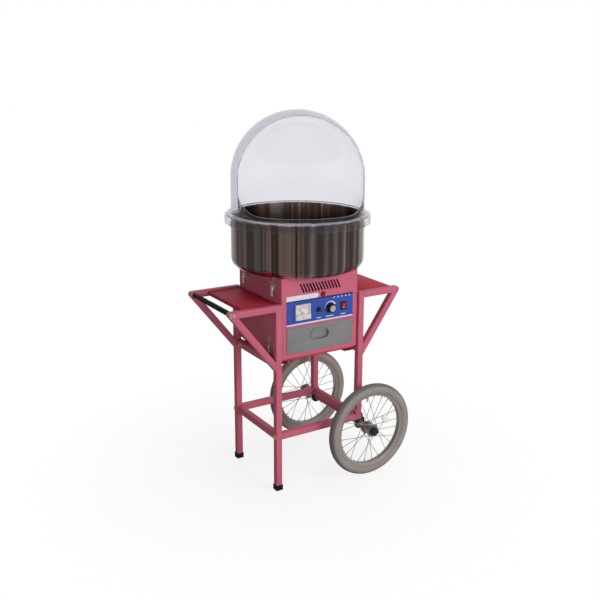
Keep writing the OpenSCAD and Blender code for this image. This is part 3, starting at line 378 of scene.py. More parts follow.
PINK = (0.50, 0.117, 0.173)
# Painted shade: a deeper, darker copy of the pink for the shelf plates, whose tops lie in shade
SHADED_PINK = (0.46, 0.04, 0.068)
GLAZE = (0.99, 0.99, 0.99)
DOME_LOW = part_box("dome")[0].z
EVEN_BRUSH = (300.0, 300.0, 300.0)
FINISH = {
    "pink_paint": clouded("pink_enamel", PINK, 0.5, 0.05, shine=0.2),
    # Shelf plates take the shaded copy of the pink
    "shelf_paint": clouded("shelf_enamel_painted_shade", SHADED_PINK, 0.45, 0.08, shine=0.03),
    "black_paint": clouded("black_enamel", (0.018, 0.017, 0.017), 0.4, 0.2),
    "bright_steel": brushed("plated_steel", (0.68, 0.65, 0.62), 0.24, EVEN_BRUSH, 0.08, 0.65),
    "rim_aluminium": clouded("rim_metal", (0.34, 0.305, 0.29), 0.4, 0.1, metal=0.35),
    "grip_rubber": clouded(
        "black_rubber", (0.012, 0.012, 0.012), 0.55, 0.25, grain=1500.0, depth=0.0002, shine=0.2
    ),
    "panel_print": clouded("white_print", (0.66, 0.64, 0.70), 0.4, 0.06),
    "tyre_rubber": tyre_rubber("grey_tyre", (0.275, 0.235, 0.215), (0.16, 0.15, 0.145)),
    "reflector_plastic": clouded("reflector", (0.74, 0.74, 0.70), 0.2, 0.06, grain=260.0, depth=0.0004),
    "panel_blue": clouded("panel_blue_print", (0.035, 0.075, 0.35), 0.38, 0.07, shine=0.3),
    "meter_white": clouded("meter_cream", (0.60, 0.565, 0.56), 0.32, 0.05),
    "meter_clear": clear_plastic("meter_window", GLAZE, 0.03, (0.95, 0.95, 0.95), GLAZE),
    "needle_paint": clouded("needle_dark", (0.06, 0.02, 0.02), 0.4, 0.05),
    "black_plastic": clouded("black_moulding", (0.016, 0.016, 0.017), 0.4, 0.2, grain=1100.0),
    "red_plastic": clouded("red_moulding", (0.33, 0.008, 0.01), 0.2, 0.12, coat=0.3),
    "motor_steel": clouded("motor_grey", (0.10, 0.10, 0.105), 0.45, 0.1),
    "bowl_steel": steel_with_painted_reflections("bowl_steel"),
    "drawer_steel": brushed("drawer_steel", (0.50, 0.49, 0.50), 0.42, (30.0, 700.0, 900.0), 0.12, 0.85),
    "head_aluminium": brushed("head_aluminium", (0.62, 0.62, 0.61), 0.3, (700.0, 700.0, 700.0)),
    "ring_brass": clouded("ring_brass", (0.60, 0.42, 0.16), 0.28, 0.1, metal=1.0),
    "hub_steel": brushed("hub_steel", (0.42, 0.39, 0.385), 0.26, EVEN_BRUSH, 0.1, 0.85),
    # Latch levers: pale plating, made nearly matt and light so that it paints in the bright highlight they
    # catch instead of mirroring a dark room
    "nickel_with_painted_highlight": clouded("nickel_with_painted_highlight", (0.80, 0.75, 0.71), 0.3, 0.06, metal=0.1),
    "dome_edge": clouded("dome_cut_edge", (0.58, 0.58, 0.62), 0.35, 0.06),
    "lamp_ring": clouded("lamp_ring_dark_red", (0.16, 0.012, 0.014), 0.3, 0.15),
    # Painted highlight: a warm tan for the caps on the arm tips and the frame's bolts, for the warm glint
    # their rounded ends catch
    "tan_painted_highlight": clouded("tan_moulding_painted_highlight", (0.56, 0.22, 0.12), 0.34, 0.12),
    "clear_plastic": clear_plastic(
        "dome_plastic", (0.81, 0.807, 0.862), 0.03, (0.92, 0.92, 0.945), (0.92, 0.92, 0.94),
        (DOME_LOW + 0.022, DOME_LOW + 0.030, 1.0, 0.4),
    ),
}
NODE_FINISH = {end + "_hub": "hub_steel" for end in ENDS}
# The latch levers take the pale finish with the painted highlight
for end in ENDS:
    NODE_FINISH["lever_" + end + "_left"] = "nickel_with_painted_highlight"
    NODE_FINISH["lever_" + end + "_right"] = "nickel_with_painted_highlight"
for name, obj in NODES.items():
    obj.data.materials.clear()
    obj.data.materials.append(FINISH[NODE_FINISH.get(name, slot_of(name))])


# Mesh building blocks
def piece(name, bm, body, slot, stands_for=(), finish=None):
    """Turns a mesh, drawn in millimetres, into a piece that rides on a body."""
    bmesh.ops.scale(bm, vec=(MM, MM, MM), verts=bm.verts)
    obj = loose_object(name, bm)
    obj.data.shade_smooth()
    obj.data.set_sharp_from_angle(angle=radians(SMOOTH_TO))
    obj.data.materials.append(FINISH[finish or slot])
    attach(obj, body)
    if stands_for:
        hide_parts(*stands_for)
    return obj


def new_object(name, data):
    """An object in the scene with its data."""
    obj = bpy.data.objects.new(name, data)
    bpy.context.scene.collection.objects.link(obj)
    return obj


def settled(name, bm):
    """A mesh as Blender's own data; the mesh under work is used up."""
    mesh = bpy.data.meshes.new(name)
    bm.to_mesh(mesh)
    bm.free()
    return mesh


def loose_object(name, bm):
    return new_object(name, settled(name, bm))


def evaluated_mesh(obj):
    """An object's shape with its modifiers run."""
    return bpy.data.meshes.new_from_object(obj.evaluated_get(bpy.context.evaluated_depsgraph_get()))


def take_in(bm, mesh):
    """Adds a mesh of Blender's data to the one under work, and removes it there."""
    bm.from_mesh(mesh)
    bpy.data.meshes.remove(mesh)
    return bm


def merge_flats(bm):
    """Puts whole flat faces in place of loose triangles."""
    bmesh.ops.dissolve_limit(bm, angle_limit=radians(0.6), verts=bm.verts, edges=bm.edges)
    return bm


def merged_copy(node):
    """A node's solids in millimetres, with whole flat faces."""
    bm = bmesh.new()
    bm.from_mesh(NODES[node].data)
    bmesh.ops.scale(bm, vec=(1 / MM,) * 3, verts=bm.verts)
    bmesh.ops.remove_doubles(bm, verts=bm.verts, dist=0.01)
    return merge_flats(bm)


def islands(bm):
    """The separate solids of a mesh, as sets of points; an edge where two solids touch doesn't join them."""
    left = set(bm.faces)
    found = []
    while left:
        stack = [left.pop()]
        points = set()
        while stack:
            face = stack.pop()
            points.update(face.verts)
            for edge in face.edges:
                if len(edge.link_faces) == 2:
                    for other in edge.link_faces:
                        if other in left:
                            left.remove(other)
                            stack.append(other)
        found.append(points)
    return found


def outer_skins(node):
    """The outside of each straight tube of a node, without its bore."""
    source = merged_copy(node)
    skins = bmesh.new()
    for island in islands(source):
        points = [skins.verts.new(v.co) for v in island]
        hull = bmesh.ops.convex_hull(skins, input=points)
        spare = {v for v in hull["geom_interior"] + hull["geom_unused"] if isinstance(v, bmesh.types.BMVert)}
        bmesh.ops.delete(skins, geom=list(spare), context="VERTS")
    source.free()
    return merge_flats(skins)


def round_edges(bm, width, pick=None, steps=3, sharp=30):
    """Rounds the sharp edges that pick accepts."""
    limit = radians(sharp)
    edges = [
        e for e in bm.edges
        if len(e.link_faces) == 2 and e.calc_face_angle(0) > limit and (pick is None or pick(e))
    ]
    bmesh.ops.bevel(
        bm, geom=edges, offset=width, segments=steps, profile=0.5, affect="EDGES", clamp_overlap=True
    )


def lies_on(edge, axis, places, slack=0.2):
    """Whether an edge lies in one of the planes where an axis has one of the places."""
    return any(all(abs(v.co[axis] - place) < slack for v in edge.verts) for place in places)


def tidy(bm):
    """Turns all faces outwards."""
    bmesh.ops.recalc_face_normals(bm, faces=bm.faces)
    return bm


def slab(bm, back, front):
    """Adds the solid between two outlines of the same number of points."""
    bm.faces.new(list(reversed(back)))
    bm.faces.new(front)
    for k in range(len(back)):
        n = (k + 1) % len(back)
        bm.faces.new((back[k], back[n], front[n], front[k]))


def polar(x, z, radius, angle):
    """The point at an angle in degrees and a radius about (x, z)."""
    a = radians(angle)
    return x + radius * cos(a), z + radius * sin(a)


def arc(x, z, radius, start, end, steps):
    """Points of an arc in the turning plane, angles in degrees."""
    return [polar(x, z, radius, start + (end - start) * k / steps) for k in range(steps + 1)]


def lathe(outline, steps=ROUND_STEPS, closed=False, place=HERE, bm=None):
    """Turns (radius, height) points round Z at a place, in a new mesh or in bm."""
    bm = bm or bmesh.new()
    rings = []
    for radius, height in outline:
        ring = []
        for k in range(steps):
            a = 2 * pi * k / steps
            ring.append(bm.verts.new(place @ Vector((radius * cos(a), radius * sin(a), height))))
        rings.append(ring)
    pairs = list(zip(rings, rings[1:]))
    if closed:
        pairs.append((rings[-1], rings[0]))
    for low, high in pairs:
        for k in range(steps):
            n = (k + 1) % steps
            bm.faces.new((low[k], low[n], high[n], high[k]))
    bmesh.ops.remove_doubles(bm, verts=bm.verts, dist=0.001)
    return tidy(bm)


def cuboid(size, at=(0, 0, 0), bevel=0.0, steps=1):
    """A box about a place, with its edges bevelled."""
    bm = bmesh.new()
    bmesh.ops.create_cube(bm, size=1)
    bmesh.ops.scale(bm, vec=size, verts=bm.verts)
    if bevel:
        bmesh.ops.bevel(bm, geom=bm.edges[:], offset=bevel, segments=steps, affect="EDGES")
    bmesh.ops.translate(bm, vec=at, verts=bm.verts)
    return bm


def facing(point, normal):
    """Frame at a point with its Z along normal and its X level."""
    z = Vector(normal).normalized()
    x = Vector((0, 0, 1)).cross(z)
    x = x.normalized() if x.length > 0.001 else Vector((1, 0, 0))
    y = z.cross(x)
    turn = Matrix((x, y, z)).transposed().to_4x4()
    return Matrix.Translation(point) @ turn


# Geometry node trees for what repeats
def repeat_tree(name, **extra):
    """A tree that sets a shape on points, with its inputs and the node whose points are still to be set."""
    tree = bpy.data.node_groups.new(name, "GeometryNodeTree")
    kinds = {**extra, "Shape": "Object", "Finish": "Material"}
    for label, kind in kinds.items():
        tree.interface.new_socket(label, in_out="INPUT", socket_type="NodeSocket" + kind)
    tree.interface.new_socket("Geometry", in_out="OUTPUT", socket_type="NodeSocketGeometry")
    source = tree.nodes.new("NodeGroupInput").outputs
    shape = add(tree, "GeometryNodeObjectInfo", {"Object": source["Shape"]}, transform_space="ORIGINAL")
    copies = add(tree, "GeometryNodeInstanceOnPoints", {"Instance": shape.outputs["Geometry"]})
    solid = add(tree, "GeometryNodeRealizeInstances", {0: copies.outputs[0]})
    paint = add(tree, "GeometryNodeSetMaterial", {"Geometry": solid.outputs[0], "Material": source["Finish"]})
    add(tree, "NodeGroupOutput", {"Geometry": paint.outputs[0]})
    return tree, source, copies


def ring_tree():
    """A shape set out evenly round the Z axis."""
    tree, source, copies = repeat_tree("ring_of_shapes", Count="Int")
    points = add(tree, "GeometryNodePoints", {"Count": source["Count"]})
    index = add(tree, "GeometryNodeInputIndex")
    turn = number_math(tree, "MULTIPLY", index.outputs[0], 2 * pi)
    angle = add(tree, "ShaderNodeCombineXYZ", {"Z": number_math(tree, "DIVIDE", turn, source["Count"])})
    euler = add(tree, "FunctionNodeEulerToRotation", {0: angle.outputs[0]})
    feed(copies, {"Points": points.outputs[0], "Rotation": euler.outputs[0]})
    return tree


def spots_tree():
    """A shape set on points, with its Z along each point's own direction."""
    tree, source, copies = repeat_tree("shapes_on_spots", Spots="Geometry")
    way = add(tree, "GeometryNodeInputNamedAttribute", {"Name": "outwards"}, data_type="FLOAT_VECTOR")
    turn = add(tree, "FunctionNodeAlignRotationToVector", {"Vector": way.outputs["Attribute"]}, axis="Z")
    feed(copies, {"Points": source["Spots"], "Rotation": turn.outputs["Rotation"]})
    return tree


RING_TREE = ring_tree()
SPOTS_TREE = spots_tree()


def repeated(shape, host, tree, slot, **values):
    """Runs a tree that repeats a shape on a host, and gives the result as a plain mesh in millimetres."""
    stock = loose_object("shape", shape)
    values.update(Shape=stock, Finish=FINISH[slot])
    modifier = host.modifiers.new("repeat", "NODES")
    modifier.node_group = tree
    for item in tree.interface.items_tree:
        if item.name in values:
            modifier[item.identifier] = values[item.name]
    bpy.context.view_layer.update()
    bm = take_in(bmesh.new(), evaluated_mesh(host))
    host.modifiers.remove(modifier)
    for used in (host, stock):
        bpy.data.objects.remove(used)
    return bm


def ring_of(shape, count, slot, place=HERE):
    """A shape repeated round Z and set at a place."""
    bm = repeated(shape, loose_object("ring_host", bmesh.new()), RING_TREE, slot, Count=count)
    bmesh.ops.transform(bm, matrix=place, verts=bm.verts)
    return bm


def on_spots(shape, spots, slot):
    """A shape repeated on (point, direction) spots."""
    mesh = bpy.data.meshes.new("spots")
    mesh.from_pydata([point for point, way in spots], [], [])
    outwards = mesh.attributes.new("outwards", "FLOAT_VECTOR", "POINT")
    for k, (point, way) in enumerate(spots):
        outwards.data[k].vector = way
    return repeated(shape, new_object("spots_host", mesh), SPOTS_TREE, slot)


# Cart frame and casing
def frame_tubes():
    """The frame's square tubes with rolled corners; edges that butt on another tube stay sharp."""
    low, high = box("left_legs")
    leg_out = abs(low.x)
    leg_in = abs(high.x)
    rail_end = box("lower_rails")[1].y - (leg_out - leg_in)
    arm_low = box("shelf_arms")[0].z

    def free_rail(edge):
        return not lies_on(edge, 0, (-leg_in, leg_in)) and not lies_on(edge, 1, (-rail_end, rail_end))

    def free_arm(edge):
        return not lies_on(edge, 0, (-leg_out, leg_out))

    def free_brace(edge):
        return free_arm(edge) and min(v.co.z for v in edge.verts) < arm_low - 2

    picks = {
        "left_legs": None,
        "right_legs": None,
        "lower_rails": free_rail,
        "shelf_arms": free_arm,
        "shelf_braces": free_brace,
    }
    for node, pick in picks.items():
        bm = outer_skins(node)
        round_edges(bm, TUBE_CORNER, pick)
        piece(node + "_tubes", bm, "cart", "pink_paint", [node])


def softened(node, width, pick=None, steps=2, name=None):
    """A node with its sharp edges eased, in the node's own place."""
    bm = merged_copy(node)
    round_edges(bm, width, pick, steps)
    piece(name or node + "_eased", bm, body_of(node), slot_of(node), [node])


def casing_shell():
    """The casing with its top edges and the edges between its corners rounded."""
    low, high = box("casing")
    slack = 0.1

    def at_corner(point):
        return all(min(abs(point[k] - low[k]), abs(point[k] - high[k])) < slack for k in (0, 1))

    def outer_edge(edge):
        top = lies_on(edge, 2, (high.z,), slack)
        side = any(lies_on(edge, axis, (low[axis], high[axis]), slack) for axis in (0, 1))
        return (top and side) or all(at_corner(v.co) for v in edge.verts)

    softened("casing", CASING_CORNER, outer_edge, 4, "casing_shell")


# Bowl and dome
def bowl_shell():
    """Spun bowl with a rolled rim and a collar round the hole in its floor."""
    low, high = box("bowl")
    height = high.z - low.z
    inner = BOWL_WALL_R - BOWL_SHEET
    flat_r = BOWL_WALL_R - BOWL_CORNER
    collar_r = BOWL_HOLE_R + BOWL_SHEET
    fillet = 2 * BOWL_SHEET
    outline = [(BOWL_HOLE_R, 0), (flat_r, 0)]
    outline += arc(flat_r, BOWL_CORNER, BOWL_CORNER, -90, 0, 16)
    outline += arc(BOWL_WALL_R + fillet, height - BOWL_SHEET - fillet, fillet, 180, 90, 5)
    outline += arc(high.x - BOWL_BEAD, height - BOWL_BEAD, BOWL_BEAD, 150, 450, 18)
    outline += arc(inner + fillet, height - fillet, fillet, 90, 180, 5)
    outline += arc(flat_r, BOWL_CORNER, BOWL_CORNER - BOWL_SHEET, 0, -90, 16)
    outline += [(collar_r, BOWL_SHEET), (collar_r, BOWL_COLLAR), (BOWL_HOLE_R, BOWL_COLLAR)]
    bm = lathe(outline, closed=True, place=Matrix.Translation((0, 0, low.z)))
    piece("bowl_shell", bm, "cart", "bowl_steel", ["bowl"])


def mouth_cutter(floor):
    """The prism that opens the dome for a hand, with round lower corners."""
    half = sqrt(DOME_WALL_R ** 2 - MOUTH_PLANE ** 2) - DOME_SHEET
    top = floor + DOME_SPRING + 2 * DOME_WALL_R
    corner_x = half - MOUTH_CORNER
    corner_z = floor + MOUTH_SILL + MOUTH_CORNER
    outline = arc(-corner_x, corner_z, MOUTH_CORNER, 180, 270, 20)
    outline += arc(corner_x, corner_z, MOUTH_CORNER, 270, 360, 20)
    outline += [(half, top), (-half, top)]
    turn = Matrix.Rotation(radians(-MOUTH_TURN), 4, "Z")
    bm = bmesh.new()
    near, far = (
        [bm.verts.new(turn @ Vector((x, y, z))) for x, z in outline]
        for y in (-MOUTH_PLANE, -2 * DOME_WALL_R)
    )
    slab(bm, far, near)
    return tidy(bm)


def dome_shell():
    """Blown dome with a flange and a skirt, cut open by the mouth."""
    floor = box("dome")[0].z + DOME_SKIRT
    shoulder_x = DOME_FLANGE_R - DOME_SHOULDER
    shoulder_z = DOME_SHEET - DOME_SHOULDER
    inner = DOME_WALL_R - DOME_SHEET
    lip = DOME_SHEET / 2
    outline = arc(0, DOME_SPRING, inner, 90, 0, 40)
    outline += [(inner, 0)]
    outline += arc(shoulder_x, shoulder_z, DOME_SHOULDER - DOME_SHEET, 90, 0, 8)
    outline += arc(DOME_FLANGE_R - lip, -DOME_SKIRT + lip, lip, 180, 360, 8)
    outline += arc(shoulder_x, shoulder_z, DOME_SHOULDER, 0, 90, 8)
    outline += arc(DOME_WALL_R + 2 * DOME_SHEET, 3 * DOME_SHEET, 2 * DOME_SHEET, 270, 180, 6)
    outline += arc(0, DOME_SPRING, DOME_WALL_R, 0, 90, 40)
    shell = loose_object("dome_raw", lathe(outline, place=Matrix.Translation((0, 0, floor))))
    cutter = loose_object("mouth_cutter", mouth_cutter(floor))
    shell.data.materials.append(FINISH["clear_plastic"])
    cutter.data.materials.append(FINISH["dome_edge"])
    cut = shell.modifiers.new("mouth", "BOOLEAN")
    cut.object = cutter
    cut.operation = "DIFFERENCE"
    cut.solver = "EXACT"
    cut.material_mode = "TRANSFER"
    bm = take_in(bmesh.new(), evaluated_mesh(shell))
    for used in (shell, cutter):
        bpy.data.objects.remove(used)
    round_edges(bm, DOME_SHEET / 3, None, 2, 50)
    dome = piece("dome_shell", bm, "dome", "clear_plastic", ["dome"])
    dome.data.materials.append(FINISH["dome_edge"])


# Wheels
def wheel_place(side):
    axle = middle("axle_rod")
    return facing((axle.x, middle(side + "_tyre").y, axle.z), (0, -1 if side == "front" else 1, 0))


def tyre(side):
    """Balloon tyre with a ribbed crown, and shoulder blocks set round it."""
    place = wheel_place(side)
    low, high = box(side + "_tyre")
    mid_r = (high.x - low.x) / 2 - TYRE_SECTION_R
    seat = degrees(acos((RIM_SEAT_R - mid_r) / TYRE_SECTION_R))
    carcass = TYRE_SECTION_R - TYRE_RIB
    outline = []
    steps = 44
    for k in range(steps + 1):
        a = -seat + 2 * seat * k / steps
        ribbed = abs(a) < 8 or abs(abs(a) - 20) < 6
        outline.append(polar(mid_r, 0, carcass + (TYRE_RIB if ribbed else 0.0), a))
    bm = lathe(outline, closed=True, place=place)
    both = bmesh.new()
    for sign in (-1, 1):
        x, z = polar(mid_r, 0, carcass - 0.4, sign * TREAD_ROW)
        lean = Matrix.Rotation(radians(-sign * TREAD_ROW), 4, "Y")
        lean @= Matrix.Rotation(radians(sign * TREAD_LEAN), 4, "X")
        half = cuboid(TREAD_BLOCK, bevel=0.5)
        bmesh.ops.transform(half, matrix=Matrix.Translation((x, 0, z)) @ lean, verts=half.verts)
        take_in(both, settled("tread_block", half))
    blocks = ring_of(both, TREAD_COUNT, "tyre_rubber", place)
    piece(side + "_tyre_carcass", bm, side + "_wheel", "tyre_rubber", [side + "_tyre"])
    piece(side + "_tyre_blocks", blocks, side + "_wheel", "tyre_rubber")


def wheel_trim(side):
    """Spoke nipples and valve stem of a wheel."""
    place = wheel_place(side)
    inner = RIM_SEAT_R - RIM_DEPTH
    nipple = [(0, 5.5), (1.1, 5.2), (1.7, 3.6), (1.7, -1.0), (0, -1.0)]
    bm = lathe(nipple, 12, place=facing((inner + 0.6, 0, 0), (-1, 0, 0)))
    bm = ring_of(bm, SPOKE_COUNT, "rim_aluminium", place)
    piece(side + "_spoke_nipples", bm, side + "_wheel", "rim_aluminium")
    stem = [(0, 24), (1.6, 23.6), (2.0, 22.5), (2.0, 17), (2.6, 16.4), (2.6, 15.0)]
    stem += [(2.0, 14.6), (3.0, 4), (3.6, 0), (3.6, -2), (0, -2)]
    turn = Matrix.Rotation(radians(VALVE_TURN), 4, "Z")
    bm = lathe(stem, 20, place=place @ turn @ facing((inner, 0, 0), (-1, 0, 0)))
    piece(side + "_valve_stem", bm, side + "_wheel", "black_plastic")


# Handle
def grip():
    """Rubber sleeve with round lips on the handle bar."""
    low, high = box("handle_grip")
    radius = (high.x - low.x) / 2
    length = high.y - low.y
    centre = middle("handle_grip")
    wall = 3
    lip = 2.0
    outline = [(radius - wall, 0)]
    outline += arc(radius - lip, lip, lip, -90, 0, 5)
    outline += arc(radius - lip, length - lip, lip, 0, 90, 5)
    outline += [(radius - wall, length)]
    place = facing((centre.x, high.y, centre.z), (0, -1, 0))
    bm = lathe(outline, 64, closed=True, place=place)
    piece("handle_grip_sleeve", bm, "cart", "grip_rubber", ["handle_grip"])


def arm_tip_caps():
    """Moulded caps that close the rounded ends of the two handle arms; their tan is a painted warm highlight.
    """
    low, high = box("shelf_arms")
    radius = (high.z - low.z) / 2
    tip = (low.x + radius, middle("shelf_arms").z)
    wrap = 0.5
    bm = bmesh.new()
    for side in (-1, 1):
        walls = (side * (high.y + wrap), side * (high.y - 2 * radius - wrap))
        front, back = min(walls), max(walls)
        prism(bm, arc(*tip, radius + wrap, 104, 256, 24), front, 0.0, back - front)
    tidy(bm)
    round_edges(bm, 1.6, None, 3, 40)
    piece("handle_arm_caps", bm, "cart", "red_plastic", finish="tan_painted_highlight")


# Control panel
PANEL_FACE = box("control_panel")[0].y
CASING_FACE = box("casing")[0].y
CONTROL_Z = 711
METER_X, FUSE_X, KNOB_X, SWITCH_X = -83, -8, 44, 105
LABEL_Z = CONTROL_Z - 33
LABELS = ((FUSE_X, 9), (KNOB_X - 2, 17), (SWITCH_X, 11))
STRIP_TOP = 19
DASH, DASH_STEP, LAST_DASH = 27, 31, -40
DIAL_FLOOR = PANEL_FACE - 3
DIAL_PIVOT = (METER_X, 708.56)
DIAL_START, DIAL_END = 135, 45
DIAL_TICKS = 25
NUMERALS = ("0", "50", "100", "150", "200", "250")
NUMERAL_R = 28.6


def prism(bm, outline, face, thick=PRINT_PROUD, sink=0.05):
    """Adds a flat shape of (x, z) points that stands a little proud of an upright face."""
    back = [bm.verts.new((x, face + sink, z)) for x, z in outline]
    front = [bm.verts.new((x, face - thick, z)) for x, z in outline]
    slab(bm, back, front)


def bar(x0, z0, x1, z1):
    return [(x0, z0), (x1, z0), (x1, z1), (x0, z1)]


def arc_band(centre, inner, outer, start, end, steps=40):
    """A band along an arc; its width runs from the first to the last of the outer radii."""
    far = []
    for k in range(steps + 1):
        r = outer[0] + (outer[1] - outer[0]) * k / steps
        far.append(polar(*centre, r, start + (end - start) * k / steps))
    return arc(*centre, inner, start, end, steps) + list(reversed(far))


def panel_prints():
    """White name strip, labels, diamonds and heat scale, and the dark line along the panel's top."""
    low, high = box("control_panel")
    top = high.z
    white = bmesh.new()
    strip = [(low.x, top), (-16, top), (-6, top + 6), (-12, top + STRIP_TOP), (low.x, top + STRIP_TOP)]
    prism(white, strip, CASING_FACE)
    prism(white, bar(low.x + 0.5, low.z + 0.3, high.x - 0.5, low.z + 5.8), PANEL_FACE)
    for x, half in LABELS:
        prism(white, bar(x - half, LABEL_Z - 1.6, x + half, LABEL_Z + 1.6), PANEL_FACE)
    for k in range(5):
        x, z = 62 + 18 * k, top - 9.5
        prism(white, [(x - 4, z), (x, z - 3.4), (x + 4, z), (x, z + 3.4)], PANEL_FACE)
    prism(white, arc_band((KNOB_X, CONTROL_Z), 22.3, (23.2, 28.5), 185, 25), PANEL_FACE)
    piece("panel_white_prints", tidy(white), "cart", "meter_white", finish="panel_print")
    dark = bmesh.new()
    edge = low.x
    while edge < LAST_DASH:
        prism(dark, bar(edge, top - 4.6, edge + DASH, top - 0.3), PANEL_FACE)
        edge += DASH_STEP
    prism(dark, bar(edge, top - 4.6, high.x - 0.5, top - 0.3), PANEL_FACE)
    piece("panel_dark_line", tidy(dark), "cart", "black_plastic")


def numeral(text, height, at, turn):
    """A dial number as a thin solid that faces the front, centred at (x, z)."""
    curve = bpy.data.curves.new("numeral", "FONT")
    curve.body = text
    curve.size = height
    curve.align_x = "CENTER"
    curve.align_y = "CENTER"
    curve.resolution_u = 3
    curve.extrude = PRINT_PROUD / 2
    holder = new_object("numeral", curve)
    bpy.context.view_layer.update()
    mesh = evaluated_mesh(holder)
    bpy.data.objects.remove(holder)
    place = Matrix.Translation((at[0], DIAL_FLOOR, at[1])) @ Matrix.Rotation(radians(90), 4, "X")
    mesh.transform(place @ Matrix.Rotation(turn, 4, "Z"))
    return mesh


def meter_dial():
    """Scale arcs, ticks and numbers on the meter's floor."""
    bm = bmesh.new()
    span = DIAL_END - DIAL_START
    prism(bm, arc_band(DIAL_PIVOT, 22.7, (23.2, 23.2), DIAL_START, DIAL_END), DIAL_FLOOR)
    for k in range(DIAL_TICKS + 1):
        a = radians(DIAL_START + span * k / DIAL_TICKS)
        along = Vector((cos(a), sin(a)))
        half, reach = (0.28, 26.2) if k % 5 == 0 else (0.14, 24.6)
        side = Vector((-along.y, along.x)) * half
        points = [along * 23 - side, along * reach - side, along * reach + side, along * 23 + side]
        prism(bm, [(DIAL_PIVOT[0] + q.x, DIAL_PIVOT[1] + q.y) for q in points], DIAL_FLOOR)
    prism(bm, arc_band(DIAL_PIVOT, 18.6, (18.9, 18.9), DIAL_START, DIAL_END), DIAL_FLOOR)
    tidy(bm)
    for k, text in enumerate(NUMERALS):
        a = DIAL_START + span * k / (len(NUMERALS) - 1)
        take_in(bm, numeral(text, 3.2, polar(*DIAL_PIVOT, NUMERAL_R, a), radians(a - 90)))
    piece("meter_scale", bm, "cart", "black_plastic")


# Fittings
def screw_head(radius, height):
    """Low domed head with a round recess, its seat at the origin and its top along Z."""
    outline = [(0, height * 0.55), (radius * 0.16, height * 0.62), (radius * 0.2, height)]
    outline += arc(radius * 0.55, height * 0.55, height * 0.45, 90, 0, 5)[1:]
    return lathe(outline + [(radius, 0.0), (0, 0.0)], 20)


def domed_head(radius, height):
    """Round bolt head on a thin washer."""
    outline = [(0, height)]
    for angle in range(15, 91, 15):
        a = radians(angle)
        outline.append((radius * 0.82 * sin(a), height * 0.3 + height * 0.7 * cos(a)))
    outline += [(radius * 0.84, height * 0.3), (radius, height * 0.24), (radius, 0.0), (0, 0.0)]
    return lathe(outline, 28)


def fittings():
    """Caps over the frame's bolts, tan as a painted warm highlight, and the screws of the meter and of the
    casing's back and sides.
    """
    low, high = box("left_legs")
    leg_y = high.y - (high.x - low.x) / 2
    rows = ((middle("lower_rails").z, leg_y), (middle("machine_rails").z, RAIL_BOLT_Y))
    spots = [
        ((sx * abs(low.x), sy * y, z), (sx, 0, 0)) for z, y in rows for sx in (-1, 1) for sy in (-1, 1)
    ]
    caps = on_spots(domed_head(11.0, 8.0), spots, "tan_painted_highlight")
    piece("frame_bolt_caps", caps, "cart", "red_plastic", finish="tan_painted_highlight")
    meter = box("meter_case")[0]
    spots = [((METER_X, meter.y, meter.z + 8), (0, -1, 0))]
    piece("meter_screw", on_spots(screw_head(3.0, 1.2), spots, "bright_steel"), "cart", "bright_steel")
    low, high = box("casing")
    columns = (low.x + 12, 0, high.x - 12)
    spots = [((x, high.y, z), (0, 1, 0)) for x in columns for z in (low.z + 12, high.z - 14)]
    spots += [((sx, y, low.z + 9), (sx, 0, 0)) for sx in (low.x, high.x) for y in (-110, 0, 110)]
    piece("casing_screws", on_spots(screw_head(4.0, 1.8), spots, "bright_steel"), "cart", "bright_steel")


def axle_caps():
    """Black caps over the axle nuts."""
    hub = box("front_hub")[0].y
    reach = hub - box("fasteners")[0].y + 3.0
    axle = middle("axle_rod")
    outline = [(0, reach)] + arc(13.0, reach - 2.5, 2.5, 90, 0, 6)
    outline += [(16.0, 4.0), (17.5, 3.2), (17.5, 1.0), (0, 1.0)]
    for side, sign in zip(ENDS, (-1, 1)):
        place = facing((axle.x, sign * abs(hub), axle.z), (0, sign, 0))
        piece(side + "_axle_cap", lathe(outline, 48, place=place), "cart", "black_plastic")


def block(bm, low, high):
    """Adds a box between two corners."""
    made = bmesh.ops.create_cube(bm, size=1)["verts"]
    bmesh.ops.scale(bm, vec=[h - l for l, h in zip(low, high)], verts=made)
    bmesh.ops.translate(bm, vec=[(l + h) / 2 for l, h in zip(low, high)], verts=made)


def side_catch():
    """Closed catch low on the handle side of the casing: plates, lever, pivot, hook and wire loop."""
    face = box("casing")[0].x
    y, z = CATCH_PLACE
    wire_r = 1.2
    wire_x = face - 3.2
    bm = bmesh.new()
    # Each block: how far it stands out and where it starts, its half width, and its foot and head
    for out, seat, half, foot, head in (
        (1.6, 0.0, 9, -32, 4),
        (1.6, 0.0, 8, 19, 32),
        (6.5, 3.2, 6.5, -30, 2),
        (5.5, 1.0, 4.5, -4, 2),
        (5.0, 1.0, 4, 22, 25),
    ):
        block(bm, (face - out, y - half, z + foot), (face - seat, y + half, z + head))
    round_edges(bm, 0.6, None, 2)
    wire = [(0, -14), (wire_r, -14), (wire_r, 13), (0, 13)]
    for side in (-1, 1):
        lathe(wire, 12, place=Matrix.Translation((wire_x, y + side * 6.2, z + 13.5)), bm=bm)
    wire = [(0, -6.2), (wire_r, -6.2), (wire_r, 6.2), (0, 6.2)]
    lathe(wire, 12, place=facing((wire_x, y, z + 26.5), (0, 1, 0)), bm=bm)
    piece("side_catch", bm, "cart", "bright_steel")


